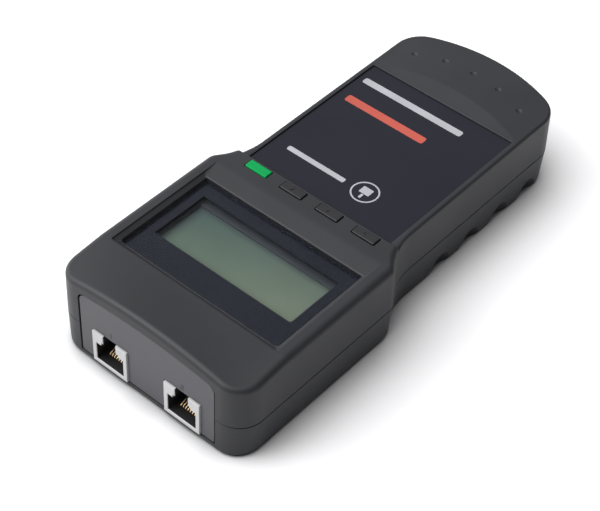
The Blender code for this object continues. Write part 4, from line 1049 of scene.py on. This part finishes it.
# ---------------------------------------------------------------- window
lens_outline = rounded(-LENS_HALF_X, LENS_HALF_X, LENS_Y0, LENS_Y1, [1.85, 1.85, 0.3, 0.3], segs=10)
lens = make("display_lens_clear", cushion(lens_outline, LENS_BACK, LENS_TOP, 0.22, n=4),
            [WINDOW, LENS_EDGE_SHADE])
# painted shade: the lens's front and side edges get the dark satin, and the +Y edge stays clear
for face in lens.data.polygons:
    if face.normal.y < -0.25 or abs(face.normal.x) > 0.25:
        face.material_index = 1
place(lens, "window", "display_lens")
# the border is a film on the back of the lens with the clear area cut out
film = make("display_lens_print",
            prism(inset_outline(lens_outline, 0.05), LENS_BACK - 0.10, LENS_BACK - 0.03), PRINT_NAVY)
clear_area = rounded(-VIEW_HALF_X, VIEW_HALF_X, VIEW_Y0, VIEW_Y1, [0.3, 1.2, 0.3, 0.3])
carve(film, [cut(prism(clear_area, LENS_BACK - 1.0, LENS_BACK + 1.0))])
place(film, "window")

# ---------------------------------------------------------------- display
lcd_outline = rounded(-LCD_HALF_X, LCD_HALF_X, LCD_Y0, LCD_Y1, 0.2, segs=2)
glass = make("lcd_glass_cell", cushion(lcd_outline, LCD_TOP - 2.8, LCD_TOP, 0.12, n=2), LCD)
place(glass, "lcd", "lcd_glass")


def bezel_opening(grow):
    return rounded(-28.9 - grow, 28.9 + grow, -57.2 - grow, -36.3 + grow, 0.3 + grow, segs=3)


BEZEL_TOP = LCD_TOP + 0.45
LCD_SEAT_GAP = 0.25
bezel = make("lcd_bezel_frame",
             cushion(rounded(-32.2, 32.2, -61.2, -32.4, 0.6, segs=4), LCD_TOP - 6.2, BEZEL_TOP, 0.2),
             satin("scene_lcd_bezel", (0.020, 0.021, 0.025), rough=0.50))
carve(bezel, [
    cut(box(-LCD_HALF_X - LCD_SEAT_GAP, LCD_HALF_X + LCD_SEAT_GAP, LCD_Y0 - LCD_SEAT_GAP,
            LCD_Y1 + LCD_SEAT_GAP, LCD_TOP - 10, LCD_TOP + 0.15)),
    cut(flare(bezel_opening, LCD_TOP - 10, BEZEL_TOP, 0.12)),
])
place(bezel, "black_plastic", "lcd_bezel")

# ---------------------------------------------------------------- handle label and its print
label_outline = rounded(-LABEL_HALF_X, LABEL_HALF_X, LABEL_Y0, LABEL_Y1, 0.4, segs=4)
label = make("handle_label_plate",
             cushion(label_outline, LABEL_TOP - LABEL_T, LABEL_TOP, 0.12), LABEL)
place(label, "label_film", "handle_label")
INK0, INK1 = LABEL_TOP + 0.004, LABEL_TOP + 0.020
ICON_X, ICON_Y = 9.2, 4.2


def ink(name, material, *shapes):
    place(make(name, merge(*shapes), material, smooth=None), "label_film")


def bar(x0, x1, y0, y1, radius):
    return prism(rounded(x0, x1, y0, y1, radius), INK0, INK1)


def icon_ring(inner_r=4.6, outer_r=5.2, degrees=359.0, n=64):
    """Flat ring, open by a hair at its +X end."""
    section = [(inner_r, INK0), (outer_r, INK0), (outer_r, INK1), (inner_r, INK1)]
    angles = [math.radians(degrees * k / n) for k in range(n + 1)]
    return loft([[(ICON_X + r * math.cos(a), ICON_Y + r * math.sin(a), z) for r, z in section]
                 for a in angles])


ink("label_stripe_red", PRINT_RED, bar(-27.2, 8.0, 36.6, 40.2, 0.9))
ink("label_stripe_grey", PRINT_GREY, bar(-28.8, 15.5, 48.7, 51.7, 0.9))
ink("label_stripe_small", PRINT_GREY, bar(-24.9, 0.6, 2.6, 4.8, 0.7))
# pictogram: a modular plug in plan, inside a ring
ink("label_pictogram", PRINT_GREY, icon_ring(),
    bar(ICON_X - 2.1, ICON_X + 2.1, ICON_Y - 1.0, ICON_Y + 2.4, 0.3),
    bar(ICON_X - 0.5, ICON_X + 0.5, ICON_Y - 3.4, ICON_Y - 1.3, 0.25))

# ---------------------------------------------------------------- keys
# name and sunk mark, as (x, y) from the key's centre
KEYS = [
    ("power", None),
    ("up", [(-1.2, -0.75), (1.2, -0.75), (0.0, 0.75)]),
    ("mode", [(-0.8, -0.6), (0.8, -0.6), (0.8, 0.6), (-0.8, 0.6)]),
    ("down", [(-1.2, 0.75), (0.0, -0.75), (1.2, 0.75)]),
]
KEY_FLANGE_T, KEY_FLANGE_REACH_X, KEY_FLANGE_REACH_Y = 1.0, 0.9, 0.75
KEY_FLANGE_Z = CEIL_KEYS - GAP - KEY_FLANGE_T
KEY_ROUND = 0.38


def key(name, x, mark):
    x0, x1 = x - BUTTON_W / 2, x + BUTTON_W / 2
    y0, y1 = BUTTON_Y - BUTTON_D / 2, BUTTON_Y + BUTTON_D / 2
    points = rounded(x0, x1, y0, y1, 0.35, segs=5)
    rings = [at_z(points, KEY_FLANGE_Z + 0.5)]
    for inset, rise in quarter(KEY_ROUND, 5):
        rings.append(at_z(inset_outline(points, inset * 0.9), BUTTON_TOP - KEY_ROUND + rise))
    cap = make(f"{name}_keycap", loft(rings), KEY if mark else KEY_GREEN)
    steps = [add(box(x0 - KEY_FLANGE_REACH_X, x1 + KEY_FLANGE_REACH_X, y0 - KEY_FLANGE_REACH_Y,
                     y1 + KEY_FLANGE_REACH_Y, KEY_FLANGE_Z, KEY_FLANGE_Z + KEY_FLANGE_T)),
             add(box(x - 1.6, x + 1.6, BUTTON_Y - 1.3, BUTTON_Y + 1.3, 27.1, KEY_FLANGE_Z + 0.6))]
    if mark:
        outline = [(x + mark_x, BUTTON_Y + mark_y) for mark_x, mark_y in mark]
        steps.append(cut(prism(outline, BUTTON_TOP - 0.2, BUTTON_TOP + 1)))
    carve(cap, steps, smooth=32)
    place(cap, "key_grey" if mark else "key_green", f"{name}_button", body=f"{name}_key")


for x, (name, mark) in zip(BUTTON_XS, KEYS):
    key(name, x, mark)

# ---------------------------------------------------------------- jacks
JACK_Y1, JACK_Z1 = JACK_Y0 + JACK_L, JACK_Z0 + JACK_H
# +X half of the plug cavity, upwards: (half width, z)
CAVITY = [(6.0, JACK_Z0 + 1.6), (6.0, JACK_Z0 + 9.2), (3.7, JACK_Z0 + 9.2), (3.7, JACK_Z0 + 10.4),
          (2.8, JACK_Z0 + 10.4), (2.8, JACK_Z1 + 2.0)]
WIRE_PITCH, WIRE_R = 1.02, 0.2
# centre line of a contact wire: (y, z) from the jack's lower front edge
WIRE_PATH = [(4.6, 1.95), (3.75, 2.05), (3.55, 2.35), (3.9, 2.75), (6.5, 3.75), (9.5, 4.85),
             (12.3, 5.65), (13.4, 5.70)]


def jack_housing(name, x):
    x0, x1 = x - JACK_W / 2, x + JACK_W / 2
    outline = rounded(x0, x1, JACK_Z0, JACK_Z1, 0.3, segs=4)
    rings = [at_y(inset_outline(outline, inset), JACK_Y0 + 0.2 - rise)
             for inset, rise in reversed(quarter(0.2))]
    housing = make(name + "_shell", loft(rings + [at_y(outline, JACK_Y1)]), [JACK, BLACK_AND_PAINTED_SHADE])
    cavity = [(x - CAVITY[0][0], CAVITY[0][1])] + [(x + half, z) for half, z in CAVITY]
    cavity += [(x - half, z) for half, z in reversed(CAVITY[1:])]
    mouth = inset_outline(cavity, -0.2)  # widened lead-in
    carve(housing, [
        cut(loft([at_y(mouth, JACK_Y0 - 3.0), at_y(mouth, JACK_Y0 - OVERSHOOT),
                  at_y(cavity, JACK_Y0 + 0.2), at_y(cavity, JACK_Y0 + 13.0)])),
        cut(box(x - 5.2, x + 5.2, JACK_Y0 + 12.0, JACK_Y1 + 2, JACK_Z0 + 1.6, JACK_Z0 + 9.0)),
        cut(box(x0 - 1, x1 + 1, JACK_Y0 + 3.8, JACK_Y1 + 1, JACK_Z0 + 13.0, JACK_Z1 + 1)),
    ], smooth=32)
    # painted shade: faces deep inside the plug cavity get the near-black material
    for face in housing.data.polygons:
        centre = face.center / MM
        off_axis = abs(centre.x - x)
        inside = (off_axis < 6.15 and JACK_Z0 + 1.45 < centre.z < JACK_Z1 + 0.1
                  and centre.y > JACK_Y0 + 0.45)
        on_top = abs(centre.z - JACK_Z1) < 0.02 and off_axis > 2.9
        face.material_index = 1 if inside and not on_top else 0
    place(housing, "jack_plastic", name)


def contact_wire(x):
    """Round wire swept along WIRE_PATH."""
    path = [(JACK_Y0 + y, JACK_Z0 + z) for y, z in WIRE_PATH]
    angles = [math.pi * 2 * k / 10 for k in range(10)]
    rings = []
    for j, (y, z) in enumerate(path):
        last_y, last_z = path[max(0, j - 1)]
        next_y, next_z = path[min(len(path) - 1, j + 1)]
        run, rise = next_y - last_y, next_z - last_z
        length = math.hypot(run, rise)
        normal_y, normal_z = -rise / length, run / length
        rings.append([(x + WIRE_R * math.cos(a), y + WIRE_R * normal_y * math.sin(a),
                       z + WIRE_R * normal_z * math.sin(a)) for a in angles])
    return loft(rings)


for x, side in ((-JACK_X, "left"), (JACK_X, "right")):
    jack_housing(f"jack_housing_{side}", x)
    insert = box(x - 5.0, x + 5.0, JACK_Y0 + 13.2, JACK_Y1 - 0.2, JACK_Z0 + 1.8, JACK_Z0 + 8.8)
    place(make(f"jack_insert_{side}", insert, BLACK_AND_PAINTED_SHADE), "contact_gold")
    wires = [contact_wire(x + (k - 3.5) * WIRE_PITCH) for k in range(8)]
    place(make(f"jack_wires_{side}", merge(*wires), GOLD, smooth=50),
          "contact_gold", f"jack_contacts_{side}")

# ---------------------------------------------------------------- battery door
DOOR_HALF = BAY_HALF - GAP
# outlines as (y, z)
TAB = [(BAY_Y1 - 3.0, 1.2), (BAY_Y1 - 0.6, 1.2), (BAY_Y1 - 0.6, 2.55), (BAY_Y1 + 1.6, 2.55),
       (BAY_Y1 + 1.6, 3.5), (BAY_Y1 - 3.0, 3.5)]
TONGUE = [(BAY_Y0 + 0.55, 1.2), (BAY_Y0 + 2.0, 1.2), (BAY_Y0 + 2.0, 4.6), (BAY_Y0 + 1.0, 4.6),
          (BAY_Y0 + 0.3, 3.6), (BAY_Y0 + 0.3, 3.0), (BAY_Y0 + 0.55, 2.6)]
# groove with rolled edges: (y from its start, z)
GROOVE = [(-0.12, -2.0), (-0.12, 0.249), (0.06, 0.45), (0.12, 0.75), (0.98, 0.75), (1.04, 0.45),
          (1.22, 0.249), (1.22, -2.0)]
ARROW = [(-4.0, BAY_Y0 + 18.5), (0.0, BAY_Y0 + 14.5), (4.0, BAY_Y0 + 18.5)]  # (x, y)

door_outline = rounded(-DOOR_HALF, DOOR_HALF, BAY_Y0 + GAP, BAY_Y1 - GAP, 0.45, segs=4)
door = make("battery_door_cover", cushion(door_outline, 0.25, 1.85, 0.1, n=2, bottom=0.2), CASE_LOW)
groove_ys = [BAY_Y0 + 4.0 + 2.4 * k for k in range(4)]
grooves = [prism_x([(start + y, z) for y, z in GROOVE], -9.0, 9.0) for start in groove_ys]
carve(door, [
    add(prism_x(TAB, -8 - 2.5, -8 + 2.5)),
    add(prism_x(TAB, 8 - 2.5, 8 + 2.5)),
    add(prism_x(TONGUE, -4.0, 4.0)),
    cut(*grooves, prism(ARROW, -2.0, 0.7)),
], smooth=32)
place(door, "case_plastic", "battery_door", body="door")

# ---------------------------------------------------------------- case screws
SCREW_Z, SCREW_L = 3.0, 16.0
SCREW_HEAD_R, SCREW_HEAD_H, SHANK_R = 2.7, 1.7, 1.3


def screw_profile():
    """Pan head and ridged shank as (radius, height above the head's lowest face)."""
    profile = [(SCREW_HEAD_R * 0.30, 0.0), (SCREW_HEAD_R * 0.62, 0.10), (SCREW_HEAD_R * 0.84, 0.32),
               (SCREW_HEAD_R * 0.97, 0.70), (SCREW_HEAD_R, SCREW_HEAD_H * 0.62),
               (SCREW_HEAD_R, SCREW_HEAD_H - 0.08), (SCREW_HEAD_R - 0.08, SCREW_HEAD_H),
               (SHANK_R, SCREW_HEAD_H)]
    z = SCREW_HEAD_H + 0.5
    while z < SCREW_L - 1.6:
        profile += [(SHANK_R, z), (SHANK_R * 0.82, z + 0.3)]
        z += 0.6
    return profile + [(SHANK_R * 0.8, SCREW_L - 1.0), (SHANK_R * 0.3, SCREW_L)]


def cross_recess(x, y):
    """Cross slot, narrowing upwards into the head."""
    a, b = SCREW_HEAD_R * 0.56, SCREW_HEAD_R * 0.13  # half length and half width of an arm
    cross = [(-a, -b), (-b, -b), (-b, -a), (b, -a), (b, -b), (a, -b),
             (a, b), (b, b), (b, a), (-b, a), (-b, b), (-a, b)]
    levels = [(1.0, -1.0), (1.0, SCREW_HEAD_H * 0.25), (0.6, SCREW_HEAD_H * 0.7)]
    return loft([[(x + u * scale, y + v * scale, SCREW_Z + height) for u, v in cross]
                 for scale, height in levels])


for i, (x, y) in enumerate(CASE_SCREWS, start=1):
    screw = make(f"case_screw_{i}_pan", turned(screw_profile(), x, y, SCREW_Z, segs=36), STEEL)
    carve(screw, [cut(cross_recess(x, y))], smooth=35)
    place(screw, "steel", f"case_screw_{i}")

# ---------------------------------------------------------------- materials of the CAD nodes that stay
LOOKS = {
    "main_board": BOARD, "lcd_board": BOARD, "lcd_backlight": WHITE, "lcd_header": BLACK,
    "lead_header": WHITE, "lcd_spacer_left": WHITE, "lcd_spacer_right": WHITE,
    "controller_chip": EPOXY, "port_switch_chip_left": EPOXY, "port_switch_chip_right": EPOXY,
    "voltage_regulator": EPOXY, "clock_crystal": STEEL, "filter_capacitor": BLACK,
    "battery_9v": CAN, "battery_snap": BLACK, "battery_foam": FOAM,
    "battery_lead_red": RED_PVC, "battery_lead_black": BLACK,
}
for name, ob in NODES.items():
    material = LOOKS.get(name)
    if material is None and "screw" in name:
        material = STEEL
    elif material is None and ("switch_body" in name or "plunger" in name):
        material = BLACK
    if material is not None:
        ob.data.materials.clear()
        ob.data.materials.append(material)

# ---------------------------------------------------------------- floor
FLOOR_HALF, FLOOR_Z = 3000.0, -0.02


def floor_material():
    """Pale sheet with a painted contact shadow: its colour darkens close to the tester."""
    material, graph, bsdf = new_material("scene_floor")
    position = graph.position()
    near = graph.node("AmbientOcclusion", {"Distance": 0.016}, samples=12)
    sheet = graph.ramp(graph.noise(position, scale=0.004, detail=2.0),
                       low=(0.655, 0.654, 0.657), high=(0.665, 0.664, 0.667))
    # painted contact shadow: the base colour goes towards black where the occlusion probe finds the
    # tester close
    covered = graph.maths("SUBTRACT", 1.0, near.outputs["AO"])
    gain, falloff = 1.35, 1.8
    contact_shade = graph.maths("POWER", graph.maths("MULTIPLY", covered, gain, clamp=True), falloff)
    graph.feed(bsdf, {"Base Color": graph.mixed(contact_shade, sheet, (0.0, 0.0, 0.0)),
                      "Roughness": 0.7, "Specular IOR Level": 0.2})
    return material


sheet_corners = [(-1, -1), (1, -1), (1, 1), (-1, 1)]
sheet_verts = [(x * FLOOR_HALF, y * FLOOR_HALF, FLOOR_Z) for x, y in sheet_corners]
make("floor", (sheet_verts, [[0, 1, 2, 3]]), floor_material(), smooth=None)

# ---------------------------------------------------------------- studio light
# glows in a dim surround: (elevation, azimuth from +X, strength, tightness)
GLOWS = [(8, 135, 0.68, 6), (8, 180, 1.88, 6), (8, 225, 1.10, 6), (36, 225, 1.00, 6),
         (43, 226, 6.0, 28), (36, 257, 1.29, 6), (68, 230, 3.45, 6), (62, 20, 0.17, 6),
         (88, 0, 0.70, 6), (-90, 0, 0.70, 6)]
SURROUND = 0.04

world = bpy.data.worlds.new("studio") if not bpy.data.worlds else bpy.data.worlds[0]
bpy.context.scene.world = world
world.use_nodes = True
sky = Graph(world.node_tree)
sky_nodes = sky.tree.nodes
# a loaded world may lack the default background node
background = (sky_nodes["Background"] if "Background" in sky_nodes
              else sky_nodes.new("ShaderNodeBackground"))
view = sky.node("TexCoord").outputs["Generated"]
total = SURROUND
for elevation, azimuth, strength, tightness in GLOWS:
    el, az = math.radians(elevation), math.radians(azimuth)
    direction = (math.cos(el) * math.cos(az), math.cos(el) * math.sin(az), math.sin(el))
    facing = sky.node("VectorMath", {0: view, 1: direction}, operation="DOT_PRODUCT")
    power = sky.maths("MULTIPLY_ADD", facing.outputs["Value"], tightness, -tightness)
    total = sky.maths("MULTIPLY_ADD", sky.maths("EXPONENT", power), strength, total)
sky.feed(background, {"Strength": total, "Color": (0.99, 0.99, 1.0)})

# ---------------------------------------------------------------- camera
CAMERA_AT = (255.93, -336.00, 424.76)
CAMERA_ANGLES = (38.80, 45.39, 2.90)  # azimuth from -Y, elevation, roll, in degrees

camera_data = bpy.data.cameras.new("camera")
camera_data.lens = 101.9
camera_data.sensor_width = 36.0
camera_data.sensor_fit = "HORIZONTAL"
camera_data.clip_start = 0.01
camera = bpy.data.objects.new("camera", camera_data)
bpy.context.scene.collection.objects.link(camera)
az, el, roll = (math.radians(a) for a in CAMERA_ANGLES)
back = Vector((math.sin(az) * math.cos(el), -math.cos(az) * math.cos(el), math.sin(el)))
right = (-back).cross(Vector((0, 0, 1))).normalized()
up = right.cross(-back)
rolled_right = math.cos(roll) * right + math.sin(roll) * up
rolled_up = -math.sin(roll) * right + math.cos(roll) * up
rotation = Matrix((rolled_right, rolled_up, back)).transposed().to_4x4()
camera.matrix_world = Matrix.Translation(Vector(CAMERA_AT) * MM) @ rotation
bpy.context.scene.camera = camera
bpy.context.scene.view_settings.view_transform = "Standard"
bpy.context.scene.view_settings.look = "None"
